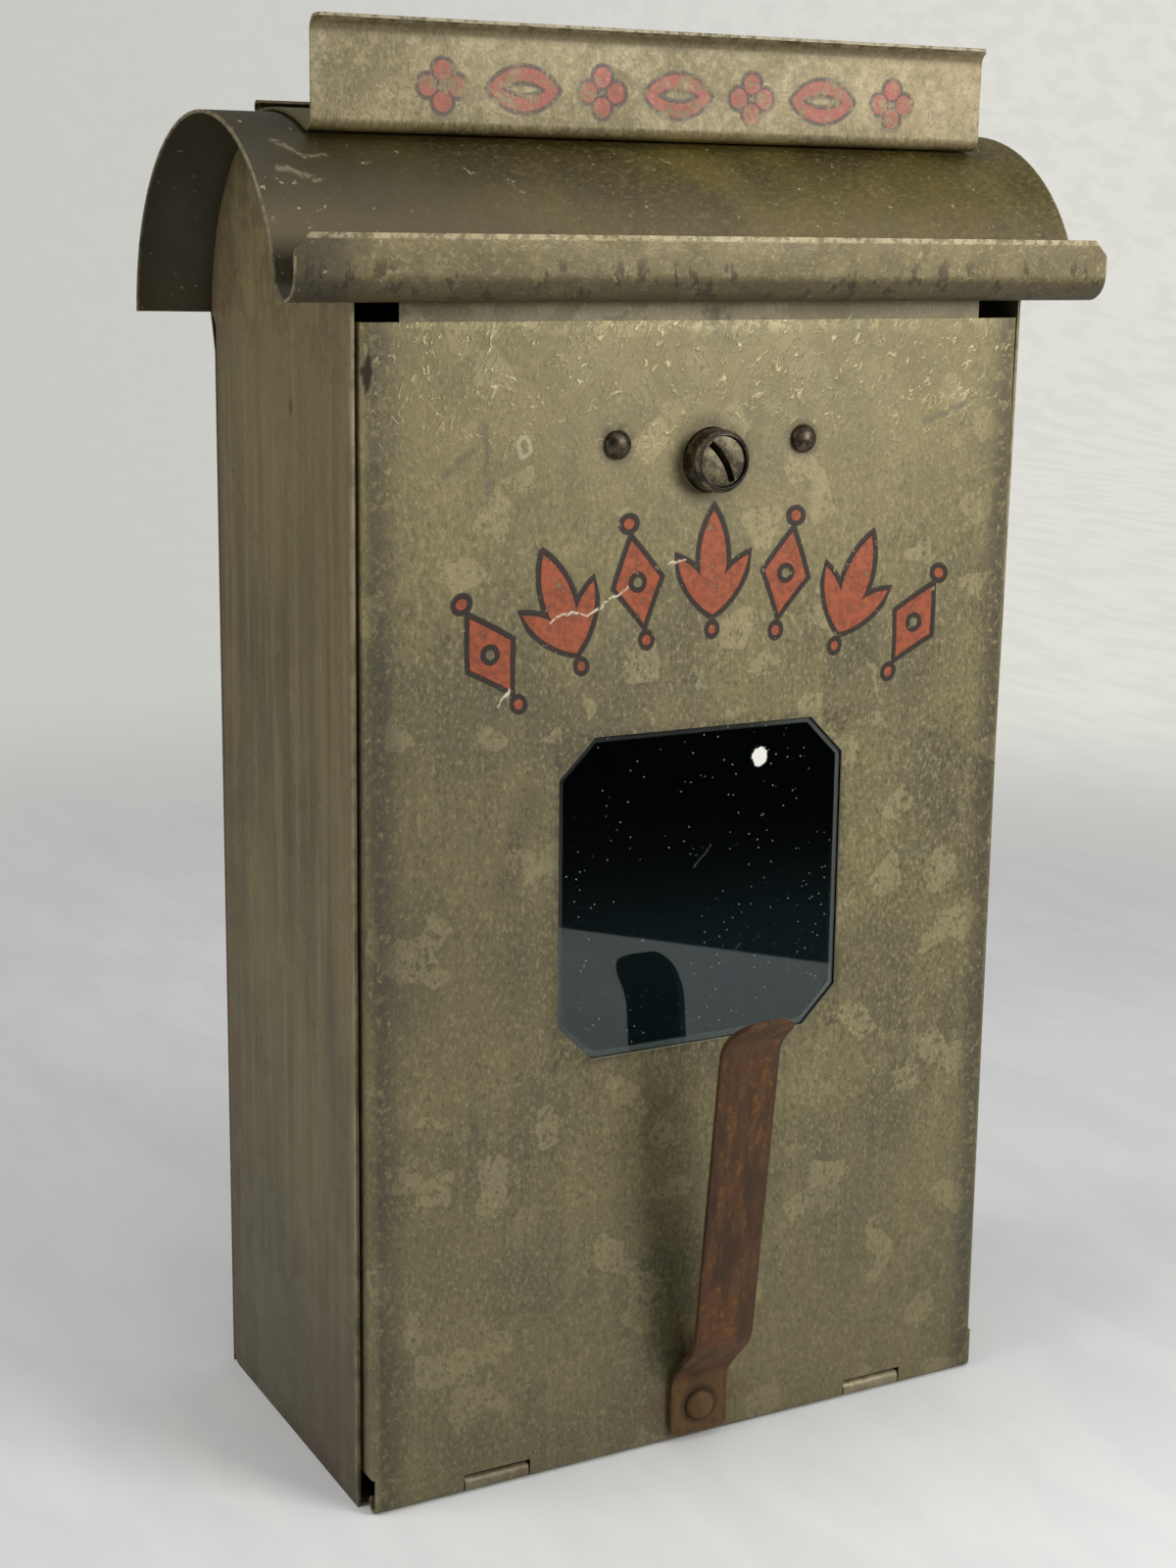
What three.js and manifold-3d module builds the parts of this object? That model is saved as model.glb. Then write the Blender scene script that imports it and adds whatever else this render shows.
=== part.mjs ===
// A galvanised sheet-metal wall mailbox: an upright box with a barrel roof and a rain gutter, a letter
// flap with an upright sign plate, and a glazed front door on a bottom hinge with a cylinder lock and a
// sprung steel strap for newspapers.
// Millimetres. +X is to the viewer's right, +Y is towards the wall, +Z is up.
// The origin is the centre of the base, midway between the side panels' front and rear edges.

import * as THREE from 'three';
import { mergeVertices } from 'three/addons/utils/BufferGeometryUtils.js';
import Module from 'manifold-3d';

const wasm = await Module();
wasm.setup();

// Clearances
const seatGap = 0.3;           // between two pieces that lie against each other
const hingeClearance = 0.2;    // between the door's hinge pin and the rolls around it
const flapPinClearance = 0.12; // between the flap's hinge pin and the rolls around it

// Body
const boxWidth = 170;
const boxDepth = 82;
const eavesHeight = 263.3;     // height of the barrel roof's centre line
const bodySheet = 0.7;
const sideFlange = 10;         // inward flange at each side panel's rear edge
const sideCorner = 3;          // round at each side panel's lower rear corner
const roofTabTurn = 13;        // degrees of arch that one solder tab takes
const roofTabWidth = 7;
const roofTabAngles = [40, 82, 128];

// Roof: a half barrel that overhangs the sides, flared at its free rear corners
const roofOverhang = 16.2;
const roofFrontLap = 1.3;      // how far the barrel stands in front of the side panels
const roofRearFlare = 7.7;     // how far its free corners stand behind the back
const roofBackLap = 2.6;       // how far it stands behind the back between the side panels
const roofRearStart = 2;       // degrees above the centre line where its rear edge is
const backJoggle = 9;          // height over which the back panel steps out to the roof
const gutterTurn = 15;         // degrees above the centre line where the sheet turns outwards
const gutterRadius = 5.5;      // to the middle of the sheet
const gutterWall = 8;
const gutterCorner = 3.7;      // clipped off the gutter wall's top corners
const hangHoleRadius = 3;
const hangHoleSpacing = 110;
const hangHoleHeight = 240;

// Letter flap and its hinge
const flapSheet = 0.6;
const flapWidth = 170.4;
const flapEase = 3.5;          // how much larger the flap's curve is than the roof's
const flapLift = 0.4;          // flap above the roof's crown
const signSetback = 20.1;      // sign's face behind the side panels' front edges
const signHeight = 17.1;       // straight part of the sign plate
const signBend = 2.4;          // bend at the sign's foot, to the middle of the sheet
const curlRadius = 3.2;
const curlTurn = 105;          // degrees
const curlCorner = 2.6;
const flapHingeSetback = 7.5;  // hinge behind the roof's crown
const flapPinRadius = 0.7;
const slotWidth = 152;
const slotFrontLap = 4.5;      // slot's front edge behind the sign's face
const slotRearRoom = 2.6;      // slot's rear edge behind the hinge
const flapTabOffset = 48;
const flapTabWidth = 14;

// Door and its hinge
const doorSheet = 0.6;
const doorSideGap = 0.9;
const doorReveal = 4.1;        // between the gutter's underside and the door's top edge
const doorProud = 5.8;         // door's face in front of the side panels at the foot
const doorLean = 4;            // how far the top leans back from that
const doorFlange = 10;
const doorFold = 2;            // outer radius of the folds along the door's sides
const doorFlangeFoot = 6.4;    // flanges stop this far above the hinge axis
const doorPinRadius = 1.2;
const hingeAxisHeight = 2.05;
const rollTurn = 245;          // degrees that a roll is wrapped around its pin
const hingeTabOffset = 52.4;
const hingeTabWidth = 16.3;
const hingeTabGap = 0.4;
const hingeNotchTop = 2.9;     // above the hinge axis

// Window
const windowWidth = 75;
const windowHeight = 75;
const windowCorner = 9;
const windowSill = 98.7;       // above the hinge axis
const glassThickness = 2.2;
const glassLap = 5;
const retainerSheet = 0.5;
const retainerWidth = 9;
const retainerHold = 3.2;      // how far a retainer reaches over the glass

// Header strip that the door closes against
const headerSheet = 0.6;
const headerSetback = 1.2;     // behind the side panels' front edges
const headerSideNotch = 10.5;  // room for the door's flanges at each end
const headerDrop = 10.3;       // below the door's top edge
const headerLapTurn = 36;      // degrees above the centre line where its lap on the roof ends

// Lock
const lockDrop = 30.4;         // barrel's centre below the door's top edge
const barrelRadius = 7;
const barrelProud = 5.6;
const barrelBevel = 0.9;
const barrelFlangeRadius = 8.6;
const plugRadius = 5.6;
const plugRecess = 0.7;
const plugClearance = 0.12;
const keywayLength = 10.2;
const keywayWidth = 1.6;
const keywayBow = 0.9;
const keywayDepth = 5;
const keywayTilt = 33;         // degrees from upright
const lockPlateSheet = 0.8;
const lockRivetSpacing = 47.8;
const lockRivetRise = 4;       // rivets above the barrel's centre
const lockCaseWidth = 34;
const lockCaseHeight = 30;
const lockCaseDepth = 9.6;
const lockCaseSheet = 0.8;
const lockEarHeight = 11;
const camRadius = 4.6;
const camPinRadius = 1.2;
const camClearance = 0.45;
const boltWidth = 11;
const boltThickness = 2.2;
const boltSideGap = 0.35;
const boltThrow = 6.6;
const boltTopGap = 1.3;        // bolt's top below the header strip when it is withdrawn
const springThickness = 0.5;

// Rivets
const rivetHeadRadius = 3.25;
const rivetHeadHeight = 2.1;
const rivetShank = 1.5;
const rivetHole = 1.8;
const rivetTailRadius = 2.6;
const rivetTailHeight = 1;

// Newspaper strap
const strapWidth = 15.4;
const strapThickness = 1.3;
const strapOffset = 0.9;       // to the right of the door's centre line
const strapFoot = 0.2;         // lower end, above the hinge axis
const strapPlateTop = 15.2;
const strapLowerBend = [-13.8, 27.4];  // out from the door's middle plane, and up
const strapUpperBend = [-22.9, 104.3];
const strapTip = [-30.9, 111.7];
const strapFillet = 9;
const strapFootRound = [2, 2];     // width and height of the round at each lower corner
const strapTipRound = [6.2, 4.4];  // the same at the free end
const strapRivetHeight = 7.4;
const strapRivetHeadRadius = 3.8;
const strapRivetShank = 2;

// Places worked out from the sizes above
const frontY = -boxDepth / 2;
const backY = boxDepth / 2;
const sideX = boxWidth / 2;
const roofRadius = (boxDepth + roofFrontLap + roofRearFlare) / 2;
const roofY = frontY - roofFrontLap + roofRadius;
const roofX = sideX + roofOverhang;
const rearReach = backY + roofBackLap - roofY;
const roofMid = roofRadius - bodySheet / 2;
const gutterY = roofY - (roofMid + gutterRadius) * Math.cos(radians(gutterTurn));
const gutterZ = eavesHeight + (roofMid + gutterRadius) * Math.sin(radians(gutterTurn));
const gutterBottom = gutterZ - gutterRadius - bodySheet / 2;

const rollInner = doorPinRadius + hingeClearance;
const rollOuter = rollInner + doorSheet;
const hingeY = frontY - doorProud + rollOuter;
const doorTop = gutterBottom - doorReveal - hingeAxisHeight;
const doorWidth = boxWidth - 2 * (bodySheet + doorSideGap);
const doorTilt = Math.atan(doorLean / doorTop);
const doorFace = -rollOuter;
const doorBack = doorFace + doorSheet;

const flapMid = roofRadius + flapEase;
const flapZ = eavesHeight + roofRadius + flapLift + flapSheet / 2 - flapMid;
const flapRollMid = flapPinRadius + flapPinClearance + flapSheet / 2;
const flapHingeAngle = Math.asin(flapHingeSetback / (flapMid + flapRollMid));
const flapHingeY = roofY + flapHingeSetback;
const flapHingeZ = flapZ + (flapMid + flapRollMid) * Math.cos(flapHingeAngle);
const signY = frontY + signSetback + flapSheet / 2;

const lockZ = doorTop - lockDrop;
const rivetZ = lockZ + lockRivetRise;
const lockPlateFront = doorBack + seatGap;
const lockPlateBack = lockPlateFront + lockPlateSheet;
const lockCaseFront = lockPlateBack + seatGap;
const lockCaseBack = lockCaseFront + lockCaseDepth;
const lockCaseTop = lockZ + lockCaseHeight / 2;
const headerBottom = doorTop - headerDrop;
const boltTop = headerBottom - boltTopGap;
const boltFront = 2.9;

// Small helpers

function radians(degrees) {
  return (degrees * Math.PI) / 180;
}

// Points on an arc from one angle to another, in degrees, as [a, b] pairs.
function arc(centreA, centreB, radius, from, to, steps) {
  return Array.from({ length: steps + 1 }, (_, i) => {
    const angle = radians(from + ((to - from) * i) / steps);
    return [centreA + radius * Math.cos(angle), centreB + radius * Math.sin(angle)];
  });
}

// A bent sheet's closed outline, from the line through the middle of its thickness.
function sheetOutline(line, thickness) {
  const sides = line.map((point, i) => {
    const before = line[Math.max(i - 1, 0)];
    const after = line[Math.min(i + 1, line.length - 1)];
    const into = new THREE.Vector2(point[0] - before[0], point[1] - before[1]).normalize();
    const out = new THREE.Vector2(after[0] - point[0], after[1] - point[1]).normalize();
    const along = into.clone().add(out).normalize();
    const straight = into.lengthSq() && out.lengthSq() ? along.dot(out) : 1;
    const reach = thickness / 2 / straight;
    return [-along.y * reach, along.x * reach];
  });
  const left = line.map(([a, b], i) => [a + sides[i][0], b + sides[i][1]]);
  const right = line.map(([a, b], i) => [a - sides[i][0], b - sides[i][1]]);
  return [...left, ...right.reverse()];
}

// A line through corner points, with each inner corner rounded to the radius.
function filletedLine(points, radius, steps = 6) {
  const line = [points[0]];
  for (let i = 1; i < points.length - 1; i += 1) {
    const corner = new THREE.Vector2(...points[i]);
    const into = corner.clone().sub(new THREE.Vector2(...points[i - 1])).normalize();
    const out = new THREE.Vector2(...points[i + 1]).sub(corner).normalize();
    const turn = Math.atan2(into.cross(out), into.dot(out));
    const side = Math.sign(turn);
    const start = corner.clone().addScaledVector(into, -radius * Math.tan(Math.abs(turn) / 2));
    const centre = start.clone().add(new THREE.Vector2(-into.y, into.x).multiplyScalar(side * radius));
    for (let step = 0; step <= steps; step += 1) {
      const spoke = start.clone().sub(centre).rotateAround(new THREE.Vector2(), (turn * step) / steps);
      line.push([centre.x + spoke.x, centre.y + spoke.y]);
    }
  }
  line.push(points[points.length - 1]);
  return line;
}

function extruded(outline, depth) {
  const shape = new THREE.Shape(outline.map(([a, b]) => new THREE.Vector2(a, b)));
  return new THREE.ExtrudeGeometry(shape, { depth, bevelEnabled: false });
}

// An outline in (y, z), extruded along X.
function prismX(outline, fromX, toX) {
  const turn = new THREE.Matrix4().makeBasis(
    new THREE.Vector3(0, 1, 0), new THREE.Vector3(0, 0, 1), new THREE.Vector3(1, 0, 0));
  return extruded(outline, toX - fromX).applyMatrix4(turn).translate(fromX, 0, 0);
}

// An outline in (x, z), extruded along Y.
function prismY(outline, fromY, toY) {
  return extruded(outline, toY - fromY).rotateX(Math.PI / 2).translate(0, toY, 0);
}

// An outline in (x, y), extruded along Z.
function prismZ(outline, fromZ, toZ) {
  return extruded(outline, toZ - fromZ).translate(0, 0, fromZ);
}

function block(fromX, toX, fromY, toY, fromZ, toZ) {
  return new THREE.BoxGeometry(toX - fromX, toY - fromY, toZ - fromZ)
    .translate((fromX + toX) / 2, (fromY + toY) / 2, (fromZ + toZ) / 2);
}

function rodX(radius, fromX, toX, y, z, sides = 24) {
  return new THREE.CylinderGeometry(radius, radius, toX - fromX, sides)
    .rotateZ(Math.PI / 2).translate((fromX + toX) / 2, y, z);
}

function rodY(radius, x, fromY, toY, z, sides = 32) {
  return new THREE.CylinderGeometry(radius, radius, toY - fromY, sides)
    .translate(x, (fromY + toY) / 2, z);
}

// A turned shape about a line along Y, from [radius, y] points that start and end on the line.
function turnedY(profile, x, z, sides = 32) {
  const points = profile.map(([radius, y]) => new THREE.Vector2(radius, y));
  return new THREE.LatheGeometry(points, sides).translate(x, 0, z);
}

function toSolid(geometry) {
  const bare = geometry.clone();
  bare.deleteAttribute('normal');
  bare.deleteAttribute('uv');
  const merged = mergeVertices(bare, 1e-5);
  return new wasm.Manifold(new wasm.Mesh({
    numProp: 3,
    vertProperties: new Float32Array(merged.attributes.position.array),
    triVerts: new Uint32Array(merged.index.array),
  }));
}

function toGeometry(solid) {
  const { vertProperties, triVerts } = solid.getMesh();
  const geometry = new THREE.BufferGeometry();
  geometry.setAttribute('position', new THREE.BufferAttribute(new Float32Array(vertProperties), 3));
  geometry.setIndex(new THREE.BufferAttribute(new Uint32Array(triVerts), 1));
  const faceted = geometry.toNonIndexed();
  faceted.computeVertexNormals();
  return faceted;
}

function joined(...geometries) {
  const [first, ...others] = geometries.map(toSolid);
  return toGeometry(others.reduce((sum, solid) => sum.add(solid), first));
}

function cut(geometry, ...tools) {
  return toGeometry(tools.map(toSolid).reduce((rest, tool) => rest.subtract(tool), toSolid(geometry)));
}

function mirroredX(outline) {
  return outline.map(([a, b]) => [-a, b]).reverse();
}

// Materials
const finishes = {
  zinc: { color: 0x7a7358, metalness: 0.55, roughness: 0.55 },
  roofZinc: { color: 0x5c553f, metalness: 0.5, roughness: 0.6 },
  plate: { color: 0x86805f, metalness: 0.5, roughness: 0.55 },
  glass: { color: 0x0c1a20, metalness: 0.0, roughness: 0.08 },
  rustedSteel: { color: 0x5a3a28, metalness: 0.4, roughness: 0.8 },
  darkSteel: { color: 0x4a4034, metalness: 0.7, roughness: 0.5 },
  wire: { color: 0x6a6052, metalness: 0.8, roughness: 0.45 },
  brass: { color: 0x6d5f3f, metalness: 0.85, roughness: 0.45 },
};

function piece(name, geometry, finish) {
  const mesh = new THREE.Mesh(geometry, new THREE.MeshStandardMaterial(finishes[finish]));
  mesh.name = name;
  return mesh;
}

// Roof section

// How far the rear half of the barrel reaches at this place along the roof.
function reachAt(x) {
  const along = THREE.MathUtils.smoothstep(Math.abs(x), sideX - bodySheet, roofX);
  return THREE.MathUtils.lerp(rearReach, roofRadius, along);
}

// The roof's section from its rear edge over the crown and into the gutter. A positive offset moves
// the line outwards from the middle of the sheet, and a negative one moves it inwards.
function roofLine(reach, offset, toGutterAngle = -180) {
  const line = [];
  const last = 180 - gutterTurn;
  const steps = 44;
  for (let i = 0; i <= steps; i += 1) {
    const angle = radians(roofRearStart + ((last - roofRearStart) * i) / steps);
    const half = (Math.cos(angle) > 0 ? reach : roofRadius) - bodySheet / 2 + offset;
    line.push([roofY + half * Math.cos(angle), eavesHeight + (roofMid + offset) * Math.sin(angle)]);
  }
  const turned = arc(gutterY, gutterZ, gutterRadius - offset, -gutterTurn, toGutterAngle, 14);
  return [...line, ...turned.slice(1)];
}

function roofHeightAt(y) {
  const half = y > roofY ? rearReach : roofRadius;
  return eavesHeight + roofRadius * Math.sqrt(1 - ((y - roofY) / half) ** 2);
}

// The roof sheet is lofted through sections along X, because its rear corners flare.
function roofSheet() {
  const half = [0, 0.5, 1].map((share) => share * (sideX - 2 * bodySheet));
  const flare = [0.1, 0.3, 0.5, 0.7, 0.85, 1]
    .map((share) => sideX - bodySheet + share * (roofOverhang + bodySheet));
  const right = [...half, ...flare];
  const places = [...right.slice(1).reverse().map((x) => -x), ...right];
  const loops = places.map((x) => {
    const outer = roofLine(reachAt(x), bodySheet / 2);
    const inner = roofLine(reachAt(x), -bodySheet / 2);
    outer.push([gutterY - gutterRadius + bodySheet / 2, gutterZ + gutterWall]);
    inner.push([gutterY - gutterRadius - bodySheet / 2, gutterZ + gutterWall]);
    return [...outer, ...inner.reverse()].map(([y, z]) => [x, y, z]);
  });
  const count = loops[0].length;
  const indices = [];
  for (let s = 0; s < loops.length - 1; s += 1) {
    for (let i = 0; i < count; i += 1) {
      const a = s * count + i;
      const b = s * count + ((i + 1) % count);
      indices.push(a, b, b + count, a, b + count, a + count);
    }
  }
  const last = (loops.length - 1) * count;
  for (let i = 0; i < count / 2 - 1; i += 1) {
    const j = count - 1 - i;
    indices.push(i, j, i + 1, i + 1, j, j - 1);
    indices.push(last + i, last + i + 1, last + j, last + i + 1, last + j - 1, last + j);
  }
  const geometry = new THREE.BufferGeometry();
  geometry.setAttribute('position', new THREE.Float32BufferAttribute(loops.flat(2), 3));
  geometry.setIndex(indices);
  return geometry;
}

// Back panel, roof and gutter: one sheet, cut as a T and bent over
function makeBackAndRoof() {
  const rearEdge = eavesHeight + roofRadius * Math.sin(radians(roofRearStart));
  const backLine = [
    [backY - bodySheet / 2, 0],
    [backY - bodySheet / 2, rearEdge - backJoggle],
    [roofY + rearReach - bodySheet / 2, rearEdge + 0.2],
    [roofY + rearReach - bodySheet / 2 - 0.05, rearEdge + 1.6],
  ];
  const back = prismX(sheetOutline(backLine, bodySheet), -sideX, sideX);
  const tabs = [-1, 1].map((side) => {
    const rollLine = arc(flapHingeY, flapHingeZ, flapRollMid, 300, 300 - rollTurn, 16);
    const from = side * flapTabOffset - flapTabWidth / 2;
    const to = from + flapTabWidth;
    const neckTop = flapHingeZ - flapRollMid * 0.55;
    const rear = flapHingeY + slotRearRoom + 1.5;
    const roll = prismX(sheetOutline(rollLine, flapSheet), from, to);
    const neck = prismX([
      [flapHingeY + flapRollMid * 0.35, neckTop - flapSheet * 1.5],
      [rear, roofHeightAt(rear) - bodySheet * 0.6],
      [rear, roofHeightAt(rear) - bodySheet * 0.1],
      [flapHingeY + flapRollMid * 0.95, neckTop + 0.1],
    ], from, to);
    return [roll, neck];
  }).flat();
  const slot = block(
    -slotWidth / 2, slotWidth / 2,
    frontY + signSetback + slotFrontLap, flapHingeY + slotRearRoom,
    eavesHeight + roofRadius / 2, eavesHeight + roofRadius + 1);
  const corners = [-1, 1].map((side) => {
    const top = gutterZ + gutterWall;
    const outline = [
      [side * (roofX - gutterCorner), top + 0.1],
      [side * (roofX + 0.1), top - gutterCorner],
      [side * (roofX + 0.1), top + 0.1],
    ];
    const front = gutterY - gutterRadius - bodySheet;
    return prismY(side > 0 ? outline.reverse() : outline, front, front + 2 * bodySheet);
  });
  const holes = [
    rodY(hangHoleRadius, -hangHoleSpacing / 2, backY - 2 * bodySheet, backY + bodySheet, hangHoleHeight, 20),
    rodY(hangHoleRadius, hangHoleSpacing / 2, backY - 2 * bodySheet, backY + bodySheet, hangHoleHeight, 20),
  ];
  const sheet = cut(joined(roofSheet(), back), slot, ...corners, ...holes);
  return piece('back_and_roof', joined(sheet, ...tabs), 'roofZinc');
}

// Side panels, each with a rear flange and solder tabs along its arch
function makeSidePanel(name, side) {
  const clear = -(bodySheet / 2 + seatGap);
  const arch = roofLine(rearReach, clear, -100).filter(([y]) => y > frontY);
  const rear = backY - bodySheet - seatGap;
  const outline = [
    [frontY, 0],
    ...arc(rear - sideCorner, sideCorner, sideCorner, -90, 0, 5),
    [rear, eavesHeight - 1.5],
    ...arch,
    [frontY, arch[arch.length - 1][1] - 0.2],
  ];
  const outer = side * sideX;
  const inner = side * (sideX - bodySheet);
  const panel = prismX(outline, Math.min(outer, inner), Math.max(outer, inner));
  const flangeEdge = side * (sideX - sideFlange);
  const flange = block(
    Math.min(outer, flangeEdge), Math.max(outer, flangeEdge), rear - bodySheet, rear,
    bodySheet + seatGap + sideFlange, eavesHeight - 1.5);
  const tabs = roofTabAngles.map((start) => {
    const radius = roofMid + clear - bodySheet / 2;
    const squeeze = start < 90 ? (rearReach - bodySheet / 2 + clear - bodySheet / 2) / radius : 1;
    const curve = arc(0, 0, radius, start, start + roofTabTurn, 5)
      .map(([y, z]) => [roofY + y * (y > 0 ? squeeze : 1), eavesHeight + z]);
    const edge = side * (sideX - bodySheet - roofTabWidth);
    return prismX(sheetOutline(curve, bodySheet), Math.min(outer, edge), Math.max(outer, edge));
  });
  return piece(name, joined(panel, flange, ...tabs), 'zinc');
}

// Bottom panel, with three upturned flanges and two tabs rolled round the door's hinge pin
function makeBottomPanel() {
  const edgeX = sideX - bodySheet - seatGap;
  const rear = backY - 2 * bodySheet - 2 * seatGap;
  const flangeFront = frontY + doorFlange + 3;
  const floor = block(-edgeX, edgeX, frontY, rear, 0, bodySheet);
  const sides = [-1, 1].map((side) => block(
    Math.min(side * edgeX, side * (edgeX - bodySheet)), Math.max(side * edgeX, side * (edgeX - bodySheet)),
    flangeFront, rear, 0, sideFlange));
  const back = block(-edgeX, edgeX, rear - bodySheet, rear, 0, sideFlange);
  const rollLine = arc(hingeY, hingeAxisHeight, rollInner + doorSheet / 2, -90, -90 - rollTurn, 16);
  const tabLine = [
    [frontY + 1, bodySheet / 2],
    [frontY - 0.4, bodySheet / 2],
    ...rollLine,
  ];
  const tabs = [-1, 1].map((side) => {
    const middle = side * hingeTabOffset;
    return prismX(sheetOutline(tabLine, doorSheet), middle - hingeTabWidth / 2, middle + hingeTabWidth / 2);
  });
  return piece('bottom_panel', joined(floor, ...sides, back, ...tabs), 'zinc');
}

// Header strip: flat where the door shuts against it, and curved where it laps the roof
function makeHeaderStrip() {
  const lapRadius = roofMid - bodySheet / 2 - seatGap - headerSheet / 2;
  const flatY = frontY + headerSetback + headerSheet / 2;
  const meet = Math.acos((roofY - flatY) / lapRadius);
  const lap = arc(roofY, eavesHeight, lapRadius, 180 - THREE.MathUtils.radToDeg(meet), 180 - headerLapTurn, 8);
  const line = [[flatY, headerBottom + hingeAxisHeight], ...lap];
  const half = sideX - headerSideNotch - bodySheet;
  return piece('header_strip', prismX(sheetOutline(line, headerSheet), -half, half), 'plate');
}

// Letter flap: rolled hinge edge, curved cover, sign plate and forward curl, all one sheet
function makeLetterFlap() {
  const contact = 270 - THREE.MathUtils.radToDeg(flapHingeAngle);
  const roll = arc(flapHingeY, flapHingeZ, flapRollMid, contact + rollTurn, contact, 16);
  const footSine = (signY + signBend - roofY) / (flapMid + signBend);
  const footAngle = THREE.MathUtils.radToDeg(Math.asin(footSine));
  const hingeAngle = THREE.MathUtils.radToDeg(flapHingeAngle);
  const cover = arc(roofY, flapZ, flapMid, 90 - hingeAngle, 90 - footAngle, 14);
  const bendZ = flapZ + (flapMid + signBend) * Math.cos(radians(footAngle));
  const bend = arc(signY + signBend, bendZ, signBend, -90 - footAngle, -180, 7);
  const curl = arc(signY - curlRadius, bendZ + signHeight, curlRadius, 0, curlTurn, 10);
  const line = [...roll, ...cover.slice(1), ...bend.slice(1), ...curl];
  const sheet = prismX(sheetOutline(line, flapSheet), -flapWidth / 2, flapWidth / 2);
  const hingeRoom = flapRollMid + flapSheet;
  const notches = [-1, 1].map((side) => {
    const middle = side * flapTabOffset;
    const half = flapTabWidth / 2 + hingeTabGap;
    return block(middle - half, middle + half,
      flapHingeY - hingeRoom - 1.2, flapHingeY + hingeRoom + 1,
      flapHingeZ - hingeRoom - 1, flapHingeZ + hingeRoom + 1);
  });
  const curlFoot = bendZ + signHeight;
  const corners = [-1, 1].map((side) => {
    const tip = signY - curlRadius - 2;
    const outline = [
      [side * (flapWidth / 2 - curlCorner), tip],
      [side * (flapWidth / 2 + 0.1), tip],
      [side * (flapWidth / 2 + 0.1), tip + curlCorner + 1],
    ];
    return prismZ(side > 0 ? outline : outline.reverse(), curlFoot, curlFoot + 2 * curlRadius);
  });
  return piece('letter_flap', cut(sheet, ...notches, ...corners), 'zinc');
}

function makeFlapHingePin() {
  const half = flapWidth / 2 - 0.6;
  return piece('flap_hinge_pin', rodX(flapPinRadius, -half, half, flapHingeY, flapHingeZ, 20), 'wire');
}

function makeDoorHingePin() {
  const half = doorWidth / 2 - doorFold / 2;
  return piece('door_hinge_pin', rodX(doorPinRadius, -half, half, hingeY, hingeAxisHeight), 'wire');
}

// Door pieces stand in a frame of their own: its origin is on the hinge axis, and the whole frame
// leans back. There y = doorFace is the door's outer face, and z is up the door.

function windowOutline(grow) {
  const half = windowWidth / 2 + grow;
  const low = windowSill - grow;
  const high = windowSill + windowHeight + grow;
  const clip = windowCorner + grow * (2 - Math.SQRT2);
  return [
    [-half + clip, low], [half - clip, low], [half, low + clip], [half, high - clip],
    [half - clip, high], [-half + clip, high], [-half, high - clip], [-half, low + clip],
  ];
}

function makeDoor() {
  const half = doorWidth / 2;
  const middle = doorFace + doorSheet / 2;
  const tip = doorFace + doorFlange;
  const foldMid = doorFold - doorSheet / 2;
  const tray = sheetOutline(filletedLine([
    [-half + doorSheet / 2, tip], [-half + doorSheet / 2, middle], [half - doorSheet / 2, middle],
    [half - doorSheet / 2, tip],
  ], foldMid, 5), doorSheet);
  const upper = prismZ(tray, doorFlangeFoot, doorTop);
  const rollLine = [
    [middle, doorFlangeFoot + 2],
    ...arc(0, 0, rollInner + doorSheet / 2, 180, 180 + rollTurn, 18),
  ];
  const lower = prismX(sheetOutline(rollLine, doorSheet), -half + foldMid / 4, half - foldMid / 4);
  const notchHalf = hingeTabWidth / 2 + hingeTabGap;
  const notches = [-1, 1].map((side) => {
    const x = side * hingeTabOffset;
    return block(x - notchHalf, x + notchHalf, doorFace - 1, rollOuter + 1, -rollOuter - 1, hingeNotchTop);
  });
  const through = [doorFace - 1, doorBack + 1];
  const holes = [
    prismY(windowOutline(0), ...through),
    rodY(barrelRadius + seatGap, 0, ...through, lockZ),
    rodY(rivetHole, -lockRivetSpacing / 2, ...through, rivetZ, 16),
    rodY(rivetHole, lockRivetSpacing / 2, ...through, rivetZ, 16),
    rodY(strapRivetShank + seatGap, strapOffset, ...through, strapRivetHeight, 16),
  ];
  return piece('door', cut(joined(upper, lower), ...notches, ...holes), 'plate');
}

function makeWindowGlass() {
  const front = doorBack + seatGap;
  return piece('window_glass', prismY(windowOutline(glassLap), front, front + glassThickness), 'glass');
}

// A retainer is a strip with a step: it is soldered to the door outside the glass and laps over it.
function retainerLine(fromGlassEdge) {
  const seat = doorBack + seatGap + retainerSheet / 2;
  const over = doorBack + 2 * seatGap + glassThickness + retainerSheet / 2;
  return [
    [fromGlassEdge + retainerWidth, seat], [fromGlassEdge + seatGap + 0.5, seat],
    [fromGlassEdge + seatGap + 0.5, over], [fromGlassEdge - retainerHold, over],
  ];
}

function makeGlassRetainers() {
  const edge = windowWidth / 2 + glassLap;
  const low = windowSill + windowCorner + 2;
  const high = windowSill + windowHeight - windowCorner - 2;
  const right = sheetOutline(retainerLine(edge), retainerSheet);
  const bottomLine = retainerLine(0).map(([out, y]) => [y, windowSill - glassLap - out]);
  const topLine = retainerLine(0).map(([out, y]) => [y, windowSill + windowHeight + glassLap + out]);
  const reach = windowWidth / 2 - windowCorner - 2;
  return [
    piece('glass_retainer_right', prismZ(right, low, high), 'zinc'),
    piece('glass_retainer_left', prismZ(mirroredX(right), low, high), 'zinc'),
    piece('glass_retainer_bottom', prismX(sheetOutline(bottomLine, retainerSheet), -reach, reach), 'zinc'),
    piece('glass_retainer_top', prismX(sheetOutline(topLine, retainerSheet), -reach, reach), 'zinc'),
  ];
}

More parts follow.
